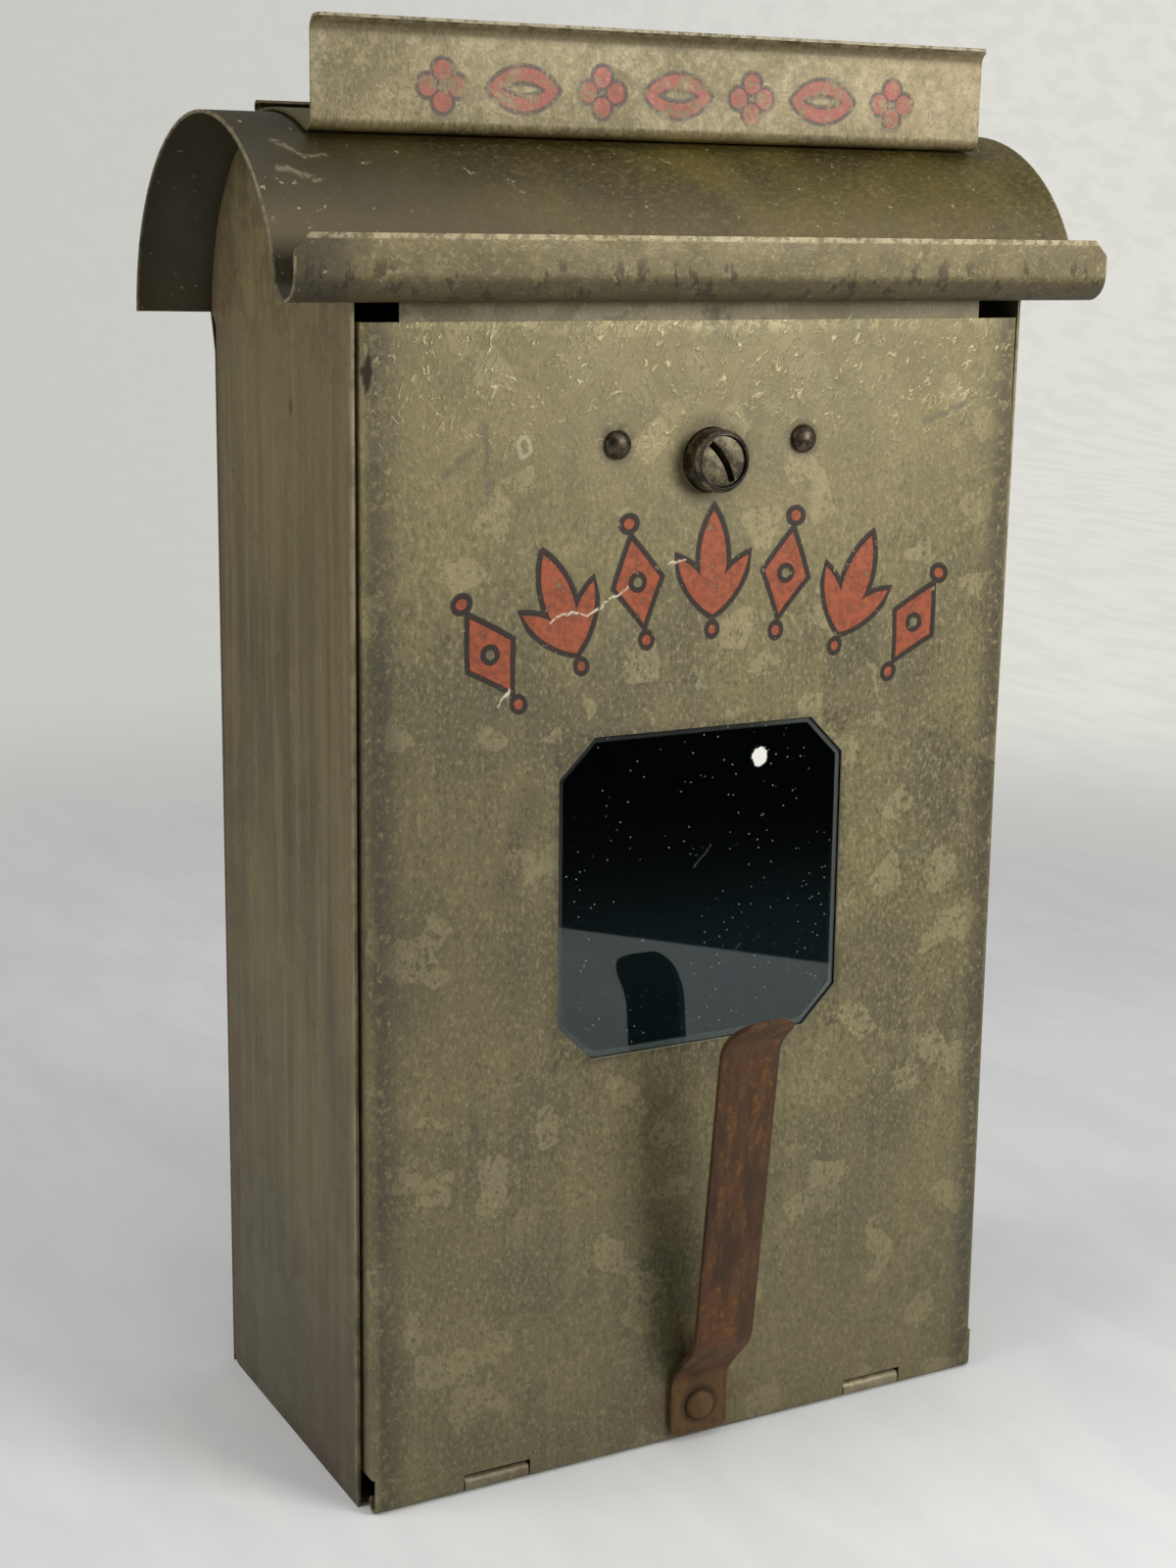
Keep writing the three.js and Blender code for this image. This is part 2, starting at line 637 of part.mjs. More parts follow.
function domedRivet(name, x, z, headRadius, headHeight, shank, headSeat, tailSeat, finish) {
  const dome = [];
  const steps = 7;
  for (let i = 0; i <= steps; i += 1) {
    const angle = (Math.PI / 2) * (i / steps);
    dome.push([headRadius * Math.sin(angle), headSeat - headHeight * Math.cos(angle)]);
  }
  dome[0][0] = 0;
  const profile = [
    ...dome, [shank, headSeat], [shank, tailSeat], [rivetTailRadius, tailSeat],
    [rivetTailRadius * 0.8, tailSeat + rivetTailHeight], [0, tailSeat + rivetTailHeight],
  ];
  return piece(name, turnedY(profile, x, z, 24), finish);
}

function makeLockRivets() {
  const headSeat = doorFace - seatGap / 2;
  const tailSeat = lockCaseFront + lockCaseSheet + seatGap / 2;
  return [['lock_rivet_left', -1], ['lock_rivet_right', 1]].map(([name, side]) => domedRivet(
    name, (side * lockRivetSpacing) / 2, rivetZ, rivetHeadRadius, rivetHeadHeight, rivetShank,
    headSeat, tailSeat, 'darkSteel'));
}

// Lock plate: closes the lock's open side against the door
function makeLockPlate() {
  const half = lockRivetSpacing / 2 + lockEarHeight / 2;
  const body = block(-lockCaseWidth / 2, lockCaseWidth / 2, lockPlateFront, lockPlateBack,
    lockZ - lockCaseHeight / 2, lockCaseTop);
  const ears = block(-half, half, lockPlateFront, lockPlateBack,
    rivetZ - lockEarHeight / 2, rivetZ + lockEarHeight / 2);
  const through = [lockPlateFront - 1, lockPlateBack + 1];
  return piece('lock_plate', cut(joined(body, ears),
    rodY(barrelRadius + seatGap, 0, ...through, lockZ),
    rodY(rivetHole, -lockRivetSpacing / 2, ...through, rivetZ, 16),
    rodY(rivetHole, lockRivetSpacing / 2, ...through, rivetZ, 16)), 'darkSteel');
}

// Lock case: a pressed box with two riveting ears, and a slot in its top for the bolt
function makeLockCase() {
  const half = lockCaseWidth / 2;
  const earHalf = lockRivetSpacing / 2 + lockEarHeight / 2;
  const low = lockZ - lockCaseHeight / 2;
  const shell = block(-half, half, lockCaseFront, lockCaseBack, low, lockCaseTop);
  const hollow = block(-half + lockCaseSheet, half - lockCaseSheet, lockCaseFront - 1,
    lockCaseBack - lockCaseSheet, low + lockCaseSheet, lockCaseTop - lockCaseSheet);
  const ears = [-1, 1].map((side) => block(
    Math.min(side * (half - 0.2), side * earHalf), Math.max(side * (half - 0.2), side * earHalf),
    lockCaseFront, lockCaseFront + lockCaseSheet, rivetZ - lockEarHeight / 2, rivetZ + lockEarHeight / 2));
  const boltSlot = block(-boltWidth / 2 - boltSideGap, boltWidth / 2 + boltSideGap,
    boltFront - boltSideGap, boltFront + boltThickness + boltSideGap,
    lockCaseTop - 2 * lockCaseSheet, lockCaseTop + 1);
  const rivetHoles = [-1, 1].map((side) => rodY(
    rivetHole, (side * lockRivetSpacing) / 2, lockCaseFront - 1, lockCaseFront + lockCaseSheet + 1, rivetZ, 16));
  return piece('lock_case', cut(joined(cut(shell, hollow), ...ears), boltSlot, ...rivetHoles), 'darkSteel');
}

function makeLockBarrel() {
  const front = doorFace - barrelProud;
  const bore = plugRadius + plugClearance;
  const flangeFront = lockPlateBack + 0.15;
  const flangeBack = flangeFront + 1;
  const profile = [
    [bore, front], [barrelRadius - barrelBevel, front], [barrelRadius, front + barrelBevel],
    [barrelRadius, flangeFront], [barrelFlangeRadius, flangeFront], [barrelFlangeRadius, flangeBack],
    [bore, flangeBack], [bore, front],
  ];
  return piece('lock_barrel', turnedY(profile, 0, lockZ, 36), 'brass');
}

// Lock plug: the turning core, with a bowed keyway in its face and a cam pin at its rear
function makeLockPlug() {
  const front = doorFace - barrelProud + plugRecess;
  const rear = boltFront - boltSideGap;
  const core = rodY(plugRadius, 0, front, rear, 0, 36);
  const pinAngle = radians(-45);
  const pin = rodY(camPinRadius, camRadius * Math.cos(pinAngle), rear - 0.5, boltFront + boltThickness + 0.6,
    camRadius * Math.sin(pinAngle), 16);
  const bowRadius = (keywayLength ** 2 / 4 + keywayBow ** 2) / (2 * keywayBow);
  const halfTurn = THREE.MathUtils.radToDeg(Math.asin(keywayLength / 2 / bowRadius));
  const bow = arc(keywayBow / 2 - bowRadius, 0, bowRadius, -halfTurn, halfTurn, 8);
  const keyway = prismY(sheetOutline(bow, keywayWidth), front - 1, front + keywayDepth)
    .rotateY(-radians(keywayTilt));
  return piece('lock_plug', cut(joined(core, pin), keyway).translate(0, 0, lockZ), 'brass');
}

// Lock bolt: a flat bar with a slot across it that the cam pin works in
function makeLockBolt() {
  const low = lockZ - camRadius - 2.4 * camPinRadius - camClearance;
  const bar = block(-boltWidth / 2, boltWidth / 2, boltFront, boltFront + boltThickness, low, boltTop);
  const pinZ = lockZ - camRadius * Math.SQRT1_2;
  const slot = block(
    camRadius * Math.SQRT1_2 - camPinRadius - camClearance, camRadius + camPinRadius + camClearance + 4,
    boltFront - 1, boltFront + boltThickness + 1,
    pinZ - camPinRadius - camClearance, pinZ + camPinRadius + camClearance);
  return piece('lock_bolt', cut(bar, slot), 'darkSteel');
}

// Leaf spring that presses on the bolt's edge and holds it where the key leaves it
function makeLockSpring() {
  const wall = -lockCaseWidth / 2 + lockCaseSheet + seatGap + springThickness / 2;
  const nose = -boltWidth / 2 - seatGap - springThickness / 2;
  const low = lockZ - lockCaseHeight / 2 + lockCaseSheet + 1;
  const high = lockCaseTop - lockCaseSheet - 1.5;
  const line = filletedLine([
    [wall, low], [wall, low + 7], [nose, (low + high) / 2], [wall + 2.5, high],
  ], 3, 5);
  return piece('lock_spring',
    prismY(sheetOutline(line, springThickness), boltFront - 0.6, boltFront + boltThickness + 2.4), 'darkSteel');
}

// Tools that round both corners at one end of a strip; up is 1 at its top and -1 at its foot.
function cornerRounds(middle, width, end, up, [roundX, roundZ], fromY, toY) {
  return [-1, 1].map((side) => {
    const edge = middle + (side * width) / 2;
    const curve = arc(0, 0, 1, 90, 0, 8)
      .map(([a, b]) => [edge + side * (a - 1) * roundX, end + up * (b - 1) * roundZ]);
    return prismY([
      ...curve, [edge + side, end - up * roundZ], [edge + side, end + up], [edge - side * roundX, end + up],
    ], fromY, toY);
  });
}

function makeNewspaperStrap() {
  const plateY = doorFace - seatGap - strapThickness / 2;
  const line = filletedLine([
    [plateY, strapFoot], [plateY, strapPlateTop], strapLowerBend, strapUpperBend, strapTip,
  ], strapFillet);
  const left = strapOffset - strapWidth / 2;
  const bar = prismX(sheetOutline(line, strapThickness), left, left + strapWidth);
  const hole = rodY(strapRivetShank + seatGap, strapOffset, plateY - 2, plateY + 2, strapRivetHeight, 16);
  const tip = strapTip[1] + strapThickness / 2;
  const through = [strapTip[0] - 2 * strapThickness, plateY + strapThickness];
  const rounds = [
    ...cornerRounds(strapOffset, strapWidth, tip, 1, strapTipRound, ...through),
    ...cornerRounds(strapOffset, strapWidth, strapFoot, -1, strapFootRound, ...through),
  ];
  return piece('newspaper_strap', cut(bar, hole, ...rounds), 'rustedSteel');
}

function makeStrapRivet() {
  const headSeat = doorFace - seatGap - strapThickness - seatGap / 2;
  return domedRivet('strap_rivet', strapOffset, strapRivetHeight, strapRivetHeadRadius, rivetHeadHeight,
    strapRivetShank, headSeat, doorBack + seatGap / 2, 'rustedSteel');
}

// The whole mailbox
const mailbox = new THREE.Group();
mailbox.add(
  makeBackAndRoof(),
  makeSidePanel('left_side_panel', -1),
  makeSidePanel('right_side_panel', 1),
  makeBottomPanel(),
  makeHeaderStrip(),
  makeLetterFlap(),
  makeFlapHingePin(),
  makeDoorHingePin(),
);

const doorFrame = new THREE.Group();
doorFrame.position.set(0, hingeY, hingeAxisHeight);
doorFrame.rotation.x = -doorTilt;
doorFrame.add(
  makeDoor(),
  makeWindowGlass(),
  ...makeGlassRetainers(),
  makeLockPlate(),
  makeLockCase(),
  makeLockBarrel(),
  makeLockPlug(),
  makeLockBolt(),
  makeLockSpring(),
  ...makeLockRivets(),
  makeNewspaperStrap(),
  makeStrapRivet(),
);
mailbox.add(doorFrame);

export default mailbox;
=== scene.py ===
# A weathered galvanised mailbox with a glazed door, a letter flap and a rusty newspaper strap.
# Lengths are in metres where they place objects, and in millimetres inside the finishes.

import math

import bpy
from mathutils import Matrix, Vector

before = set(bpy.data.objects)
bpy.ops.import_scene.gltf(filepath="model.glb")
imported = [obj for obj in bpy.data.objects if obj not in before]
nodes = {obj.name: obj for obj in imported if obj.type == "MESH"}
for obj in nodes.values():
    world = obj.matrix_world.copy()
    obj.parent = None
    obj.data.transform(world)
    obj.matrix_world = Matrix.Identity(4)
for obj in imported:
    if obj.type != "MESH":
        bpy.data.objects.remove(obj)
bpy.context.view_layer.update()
print("frame loaded:", len(nodes), "nodes")


# Shader maths: an expression on wires adds its own nodes

class Wire:
    def __init__(self, finish, socket):
        self.finish = finish
        self.socket = socket

    def calc(self, operation, *others):
        return self.finish.add("Math", {"operation": operation}, dict(enumerate([self, *others])))

    def __add__(self, other):
        return self.calc("ADD", other)

    def __sub__(self, other):
        return self.calc("SUBTRACT", other)

    def __rsub__(self, other):
        return self.finish.add("Math", {"operation": "SUBTRACT"}, {0: other, 1: self})

    def __mul__(self, other):
        return self.calc("MULTIPLY", other)

    def __truediv__(self, other):
        return self.calc("DIVIDE", other)

    def __pow__(self, other):
        return self.calc("POWER", other)

    def __neg__(self):
        return self.calc("MULTIPLY", -1)

    __radd__ = __add__
    __rmul__ = __mul__

    def size(self):
        return self.calc("ABSOLUTE")

    def lowest(self, other):
        return self.calc("MINIMUM", other)

    def highest(self, other):
        return self.calc("MAXIMUM", other)

    def rise(self, low, high):  # 0 below low, 1 above high, smooth between them
        return self.finish.add("MapRange", {"interpolation_type": "SMOOTHSTEP"}, {0: self, 1: low, 2: high})

    def fall(self, low, high):  # 1 below low, 0 above high
        return 1 - self.rise(low, high)


class Finish:
    def __init__(self, name, tree=None):
        if tree is None:
            self.material = bpy.data.materials.new(name)
            self.material.use_nodes = True
            tree = self.material.node_tree
        self.tree = tree
        self.tree.nodes.clear()

    def add(self, kind, settings=None, sockets=None, output=0):
        node = self.tree.nodes.new("ShaderNode" + kind)
        for key, value in (settings or {}).items():
            setattr(node, key, value)
        for key, value in (sockets or {}).items():
            if isinstance(value, Wire):
                self.tree.links.new(value.socket, node.inputs[key])
            else:
                node.inputs[key].default_value = value
        return Wire(self, node.outputs[output]) if len(node.outputs) else node

    def vector(self, operation, first, second):
        return self.add("VectorMath", {"operation": operation}, {0: first, 1: second})

    def scaled(self, vector, factor):
        return self.add("VectorMath", {"operation": "SCALE"}, {0: vector, "Scale": factor})

    def stretched(self, vector, *factors):
        return self.vector("MULTIPLY", vector, factors)

    def moved(self, vector, swirl, reach):  # pushed about by a colour noise, so that marks get uneven edges
        return self.vector("ADD", vector, self.scaled(self.vector("SUBTRACT", swirl, (0.5, 0.5, 0.5)), reach))

    def split(self, vector):
        node = self.add("SeparateXYZ", sockets={0: vector}).socket.node
        return [Wire(self, output) for output in node.outputs]

    def place(self):  # millimetres in the row frame
        return self.scaled(self.add("TexCoord", output="Object"), 1000)

    def facing(self):  # the surface's own direction, before any joint turns it
        return self.split(self.add("TexCoord", output="Normal"))

    def front(self):  # 1 where the surface faces forward
        return (-self.facing()[1]).rise(0.6, 0.8)

    def noise(self, vector, size, detail, rough, bend=0.0, output=0):
        sockets = {
            "Vector": vector, "Scale": 1 / size, "Detail": detail, "Roughness": rough, "Distortion": bend,
        }
        return self.add("TexNoise", sockets=sockets, output=output)

    def cells(self, vector, size, output="Distance"):
        return self.add("TexVoronoi", sockets={"Vector": vector, "Scale": 1 / size}, output=output)

    def blend(self, amount, under, over):
        sockets = {0: amount, 6: asColour(under), 7: asColour(over)}
        return self.add("Mix", {"data_type": "RGBA"}, sockets, output=2)

    def bump(self, height, reach, strength):
        return self.add("Bump", sockets={"Height": height, "Distance": reach / 1000, "Strength": strength})

    def glossy(self, **sockets):
        named = {key.replace("_", " "): value for key, value in sockets.items()}
        return self.add("BsdfPrincipled", sockets=named)

    def either(self, amount, first, second):
        return self.add("MixShader", sockets={0: amount, 1: first, 2: second})

    def closed(self, shader):
        self.add("OutputMaterial", sockets={"Surface": shader})
        return self.material


def asColour(value):  # a hex colour as the linear one that a socket takes
    if isinstance(value, Wire):
        return value
    parts = [int(value[i:i + 2], 16) / 255 for i in (1, 3, 5)]
    return (*[c / 12.92 if c <= 0.04045 else ((c + 0.055) / 1.055) ** 2.4 for c in parts], 1)


# Marks on a flat face, as distances in millimetres that are negative inside the mark

def discMark(a, b, radius):
    return (a * a + b * b) ** 0.5 - radius


def distance(a, b, centre):
    return discMark(a - centre[0], b - centre[1], 0)


def lensMark(a, b, halfWidth, halfHeight):
    curve = (halfWidth ** 2 + halfHeight ** 2) / (2 * halfWidth)
    return discMark(a.size() + (curve - halfWidth), b, curve)


def leaningLens(a, b, degrees, halfWidth, halfHeight):
    turn = math.radians(degrees)
    across = a * math.cos(turn) - b * math.sin(turn)
    return lensMark(across, a * math.sin(turn) + b * math.cos(turn), halfWidth, halfHeight)


def lozengeMark(a, b, halfWidth, halfHeight):
    slope = halfWidth * halfHeight / math.hypot(halfWidth, halfHeight)
    return (a.size() / halfWidth + b.size() / halfHeight - 1) * slope


def lineMark(a, b, start, end, width):
    alongA, alongB = end[0] - start[0], end[1] - start[1]
    length = math.hypot(alongA, alongB)
    alongA, alongB = alongA / length, alongB / length
    share = ((a - start[0]) * alongA + (b - start[1]) * alongB).highest(0).lowest(length)
    return discMark(a - start[0] - share * alongA, b - start[1] - share * alongB, width / 2)


def union(marks):
    result = marks[0]
    for mark in marks[1:]:
        result = result.lowest(mark)
    return result


def inside(mark, edge=0.15):
    return (-mark).rise(-edge, edge)


# Weathered zinc

doorZinc = {
    "base": "#786e4b", "dark": "#645d42", "light": "#92855b", "cool": "#63644c", "flake": "#ada077",
    "grime": "#2a261c", "grainSize": 0.9, "grain": 0.8, "cloudSize": 40, "streak": 0.22, "flakes": 0.4,
    "metal": 0.3, "rough": 0.5,
}
sideZinc = {
    "base": "#665a36", "dark": "#52492d", "light": "#796c44", "cool": "#53513a", "flake": "#84774f",
    "grime": "#2a2417", "grainSize": 1.0, "grain": 0.6, "cloudSize": 60, "streak": 0.5, "flakes": 0.14,
    "metal": 0.2, "rough": 0.55,
}
roofZinc = {
    "base": "#605422", "dark": "#463c18", "light": "#786a34", "cool": "#504b28", "flake": "#887c4c",
    "grime": "#241f14", "grainSize": 1.0, "grain": 0.65, "cloudSize": 24, "streak": 0.12, "flakes": 0.1,
    "metal": 0.25, "rough": 0.5,
}
innerZinc = {
    "base": "#857b5d", "dark": "#675f46", "light": "#a89c78", "cool": "#757364", "flake": "#a99d7c",
    "grime": "#3a3429", "grainSize": 1.2, "grain": 0.45, "cloudSize": 30, "streak": 0.2, "flakes": 0.3,
    "metal": 0.35, "rough": 0.5,
}
anyZinc = {  # what all the sheets share: sizes of the patterns, and how deep the surface is pitted
    "mottleSize": 2.2, "patchSize": 9, "streakWidth": 3.6, "streakSquash": 0.08, "swirlSize": 3,
    "flakeSize": 7.5, "flakeBend": 1.6, "shiniest": 0.22, "dullest": 0.95,
    "pitDepth": 0.14, "pitStrength": 0.6,
}


class Zinc:
    def __init__(self, name, look, brushed=(1, 1, 0.6)):
        finish = Finish(name)
        self.finish = finish
        self.look = look
        self.place = finish.place()
        self.x, self.y, self.z = finish.split(self.place)
        self.grain = finish.noise(finish.stretched(self.place, *brushed), look["grainSize"], 2.0, 0.85)
        self.mottle = finish.noise(self.place, anyZinc["mottleSize"], 2.0, 0.8)
        self.patches = finish.noise(self.place, anyZinc["patchSize"], 3.0, 0.75)
        self.clouds = finish.noise(self.place, look["cloudSize"], 1.0, 0.6)
        self.swirl = finish.noise(self.place, anyZinc["swirlSize"], 1.0, 0.5, output="Color")
        drawn = finish.stretched(self.place, 1, 1, anyZinc["streakSquash"])
        streaks = finish.noise(drawn, anyZinc["streakWidth"], 1.0, 0.6)
        spangle = finish.cells(self.bent(anyZinc["flakeBend"]), anyZinc["flakeSize"], "Color")
        red, green, blue = finish.split(spangle)
        flakes, grain = look["flakes"], look["grain"]
        self.colour = finish.blend(self.clouds.rise(0.36, 0.64), look["dark"], look["base"])
        for amount, tone in [
            (streaks.rise(0.46, 0.72) * look["streak"], "light"),
            (self.patches.fall(0.34, 0.46) * 0.4, "cool"),
            (red.rise(0.89, 0.9) * self.mottle.rise(0.38, 0.46) * flakes, "flake"),
            (green.rise(0.66, 0.9) * (flakes * 0.4), "light"),
            (blue.rise(0.66, 0.9) * (flakes * 0.3), "dark"),
            (self.mottle.rise(0.54, 0.6) * (grain * 0.2), "light"),
            (self.mottle.fall(0.36, 0.44) * (grain * 0.22), "dark"),
            (self.grain.rise(0.54, 0.66) * (grain * 0.6), "flake"),
            (self.grain.fall(0.32, 0.46) * (grain * 0.6), "grime"),
        ]:
            self.tint(amount, look[tone])
        self.rough = look["rough"] + (self.grain - 0.5) * 0.35 + (blue - 0.5) * 0.1
        self.relief = self.grain * 0.5 + self.mottle * 0.7

    def bent(self, reach):
        return self.finish.moved(self.place, self.swirl, reach)

    def tint(self, amount, colour, rough=0.0):
        self.colour = self.finish.blend(amount, self.colour, colour)
        if rough:
            self.rough = self.rough + amount * rough

    def made(self):
        finish = self.finish
        return finish.closed(finish.glossy(
            Base_Color=self.colour, Metallic=self.look["metal"],
            Roughness=self.rough.highest(anyZinc["shiniest"]).lowest(anyZinc["dullest"]),
            Normal=finish.bump(self.relief, anyZinc["pitDepth"], anyZinc["pitStrength"])))


# Painted trim: an arch of sprays and lozenges on the door, a row of leaves and flowers on the sign

archTrim = {
    "centre": (1.0, 104.0), "radius": 107.5, "pitch": 19.4, "count": 7,
    "leaf": (4.0, 13.0), "leafUp": 1.5, "sideLeaf": (34, 2.9, 9.4), "sideLeafPlace": (4.4, 3.4),
    "budRadius": 1.7, "budDown": 13.4, "lozenge": (6.4, 10.6), "eyeRadius": 1.7,
    "beadRadius": 1.8, "beadOut": 13.2,
    "red": "#a0502f", "deepRed": "#843f24", "outline": "#1d1a15", "outlineWidth": 1.3, "outlineCover": 0.92,
}
signTrim = {
    "centre": (2.2, 314.4), "pitch": 19.2, "count": 7,
    "leaf": (5.0, 9.0), "leafHole": (1.2, 4.6), "petalRadius": 2.6, "petalOut": 3.4, "petalUp": 3.2,
    "red": "#a45a4e", "deepRed": "#8c4b42", "outline": "#55524a", "outlineWidth": 1.0, "outlineCover": 0.92,
}


def repeated(along, look):  # place within a unit, and 1 in every other unit
    last = (look["count"] - 1) // 2
    index = (along / look["pitch"] + 0.5).calc("FLOOR").highest(-last).lowest(last)
    return along - index * look["pitch"], index.size().calc("MODULO", 2)


def alternate(first, second, other):
    return first + (second - first) * other


def archMark(zinc):
    look = archTrim
    a = zinc.x - look["centre"][0]
    b = zinc.z - look["centre"][1]
    across = discMark(a, b, look["radius"])
    unit, other = repeated(a.calc("ARCTAN2", b) * look["radius"], look)
    leaf = lensMark(unit, across - look["leafUp"], *look["leaf"])
    out, down = look["sideLeafPlace"]
    sideLeaves = leaningLens(unit.size() - out, across + down, *look["sideLeaf"])
    bud = discMark(unit, across + look["budDown"], look["budRadius"])
    eye = discMark(unit, across, look["eyeRadius"])
    lozenge = lozengeMark(unit, across, *look["lozenge"]).highest(-eye)
    beads = discMark(unit, across.size() - look["beadOut"], look["beadRadius"])
    return alternate(union([leaf, sideLeaves, bud]), lozenge.lowest(beads), other)


def signMark(zinc):
    look = signTrim
    a = zinc.x - look["centre"][0]
    b = zinc.z - look["centre"][1]
    unit, other = repeated(a, look)
    lyingLeaf = lensMark(b, unit, *look["leaf"]).highest(-lensMark(b, unit, *look["leafHole"]))
    sidePetals = discMark(unit.size() - look["petalOut"], b, look["petalRadius"])
    upperPetals = discMark(unit, b.size() - look["petalUp"], look["petalRadius"])
    return alternate(lyingLeaf, sidePetals.lowest(upperPetals), other)


def paintTrim(zinc, mark, look, wear, bare):  # wear takes off all the paint, bare only the fill
    kept = wear * zinc.finish.front()
    shade = zinc.finish.blend(zinc.mottle.rise(0.36, 0.6), look["deepRed"], look["red"])
    zinc.tint(inside(mark) * kept * bare, shade, 0.05)
    outline = inside(mark.size() - look["outlineWidth"] / 2)
    zinc.tint(outline * kept * look["outlineCover"], look["outline"], 0.05)


# The door: its marks are places across and up its face

doorMarks = {
    "bend": 2.2, "halfWidth": 83.4, "lock": (0, 236), "lockShadowReach": 11, "rivets": [(-23.9, 240), (23.9, 240)],
    "rivetHalo": 4.8, "window": (0, 138.3), "windowHalf": 37.5,
    "strapFoot": (0.9, 9.4), "stainSize": (17, 19),
    "creaseLean": 34, "creaseLength": 7, "creaseWidth": 3.4, "creaseHeight": 1.4,
    "scrapes": [((-65, 235), (-58.5, 239.5)), ((-55.6, 245), (-54.8, 228)), ((57.5, 243.2), (69, 246.8))],
    "scrapeWidth": 1.3,
    "cracks": [((-40.3, 202.1), (-35, 204)), ((-35, 204), (-30.7, 203.4)), ((-30.7, 203.4), (-21, 208.7)),
               ((-11.4, 213.5), (-6.2, 214.1)), ((-52.5, 184), (-50, 188))],
    "crackWidth": 0.4, "ring": (-46.4, 240.5), "ringRadius": 1.5, "ringHalfWidth": 0.45, "ringSquash": 0.8,
    "smudge": ((-45.6, 164), (-51, 143.5)), "smudgeWidth": 5.5,
    "edgeRust": (-82.3, 256), "edgeRustSize": (0.9, 4.2),
}
doorTones = {
    "low": "#58543c", "lowLeftShade": "#575039", "topEdgeHighlight": "#b9ab7e", "foldShade": "#38342a", "creaseHighlight": "#c8bc90",
    "scrape": "#4c4c48", "ring": "#b9b094", "smudge": "#2f2c24", "halo": "#2d281e", "stain": "#573d26",
    "cutEdgeHighlight": "#a8a48e", "rust": "#2b1810", "crack": "#d8cdb2",
}


def wrinkles(zinc, degrees, length, width):  # thin creases that lean by this angle
    turn = math.radians(degrees)
    along = zinc.x * math.sin(turn) + zinc.z * math.cos(turn)
    across = zinc.x * math.cos(turn) - zinc.z * math.sin(turn)
    swayed = zinc.finish.add("CombineXYZ", sockets={0: across / width, 1: zinc.y, 2: along / length})
    return (zinc.finish.noise(swayed, 1.0, 1.0, 0.5, 1.2) - 0.5).size().fall(0.0, 0.045)


def doorPaintedLightAndCreases(zinc):  # painted light and shade: lighter top, darker bottom and lower left, highlights on the top edge and creases, shade along the bent side edges; the creases are also bumped
    finish, x, z = zinc.finish, zinc.x, zinc.z
    marks, tones = doorMarks, doorTones
    # painted light: the door lighter towards the top
    zinc.tint(z.rise(180, 265) * (0.12 + zinc.patches * 0.6), zinc.look["light"], -0.04)
    # painted shade: the door darker towards the bottom
    zinc.tint(z.fall(10, 120) * 0.4, tones["low"], 0.04)
    # painted shade: the door darker towards the left, over its middle and lower part
    zinc.tint(x.fall(-80, 30) * z.fall(150, 225) * z.rise(40, 120) * 0.35, tones["lowLeftShade"], 0.03)
    # painted highlight along the door's top edge
    zinc.tint(z.rise(262.5, 266) * zinc.mottle.rise(0.4, 0.62) * 0.45, tones["topEdgeHighlight"], -0.1)
    # painted shade: a dark band just in from each bent side edge
    fromEdge = marks["halfWidth"] - x.size()
    nearEdge = fromEdge.fall(2.5, 10) * fromEdge.rise(0.6, 2.2)
    zinc.tint(nearEdge * zinc.mottle.rise(0.34, 0.5) * 0.65, tones["foldShade"], 0.05)
    creases = wrinkles(zinc, marks["creaseLean"], marks["creaseLength"], marks["creaseWidth"])
    creases = creases * z.rise(228, 262) * zinc.mottle.rise(0.46, 0.54)
    # painted highlights on the creases, which the bump also raises
    zinc.tint(creases * finish.front() * 0.5, tones["creaseHighlight"], -0.15)
    zinc.relief = zinc.relief + creases * marks["creaseHeight"]


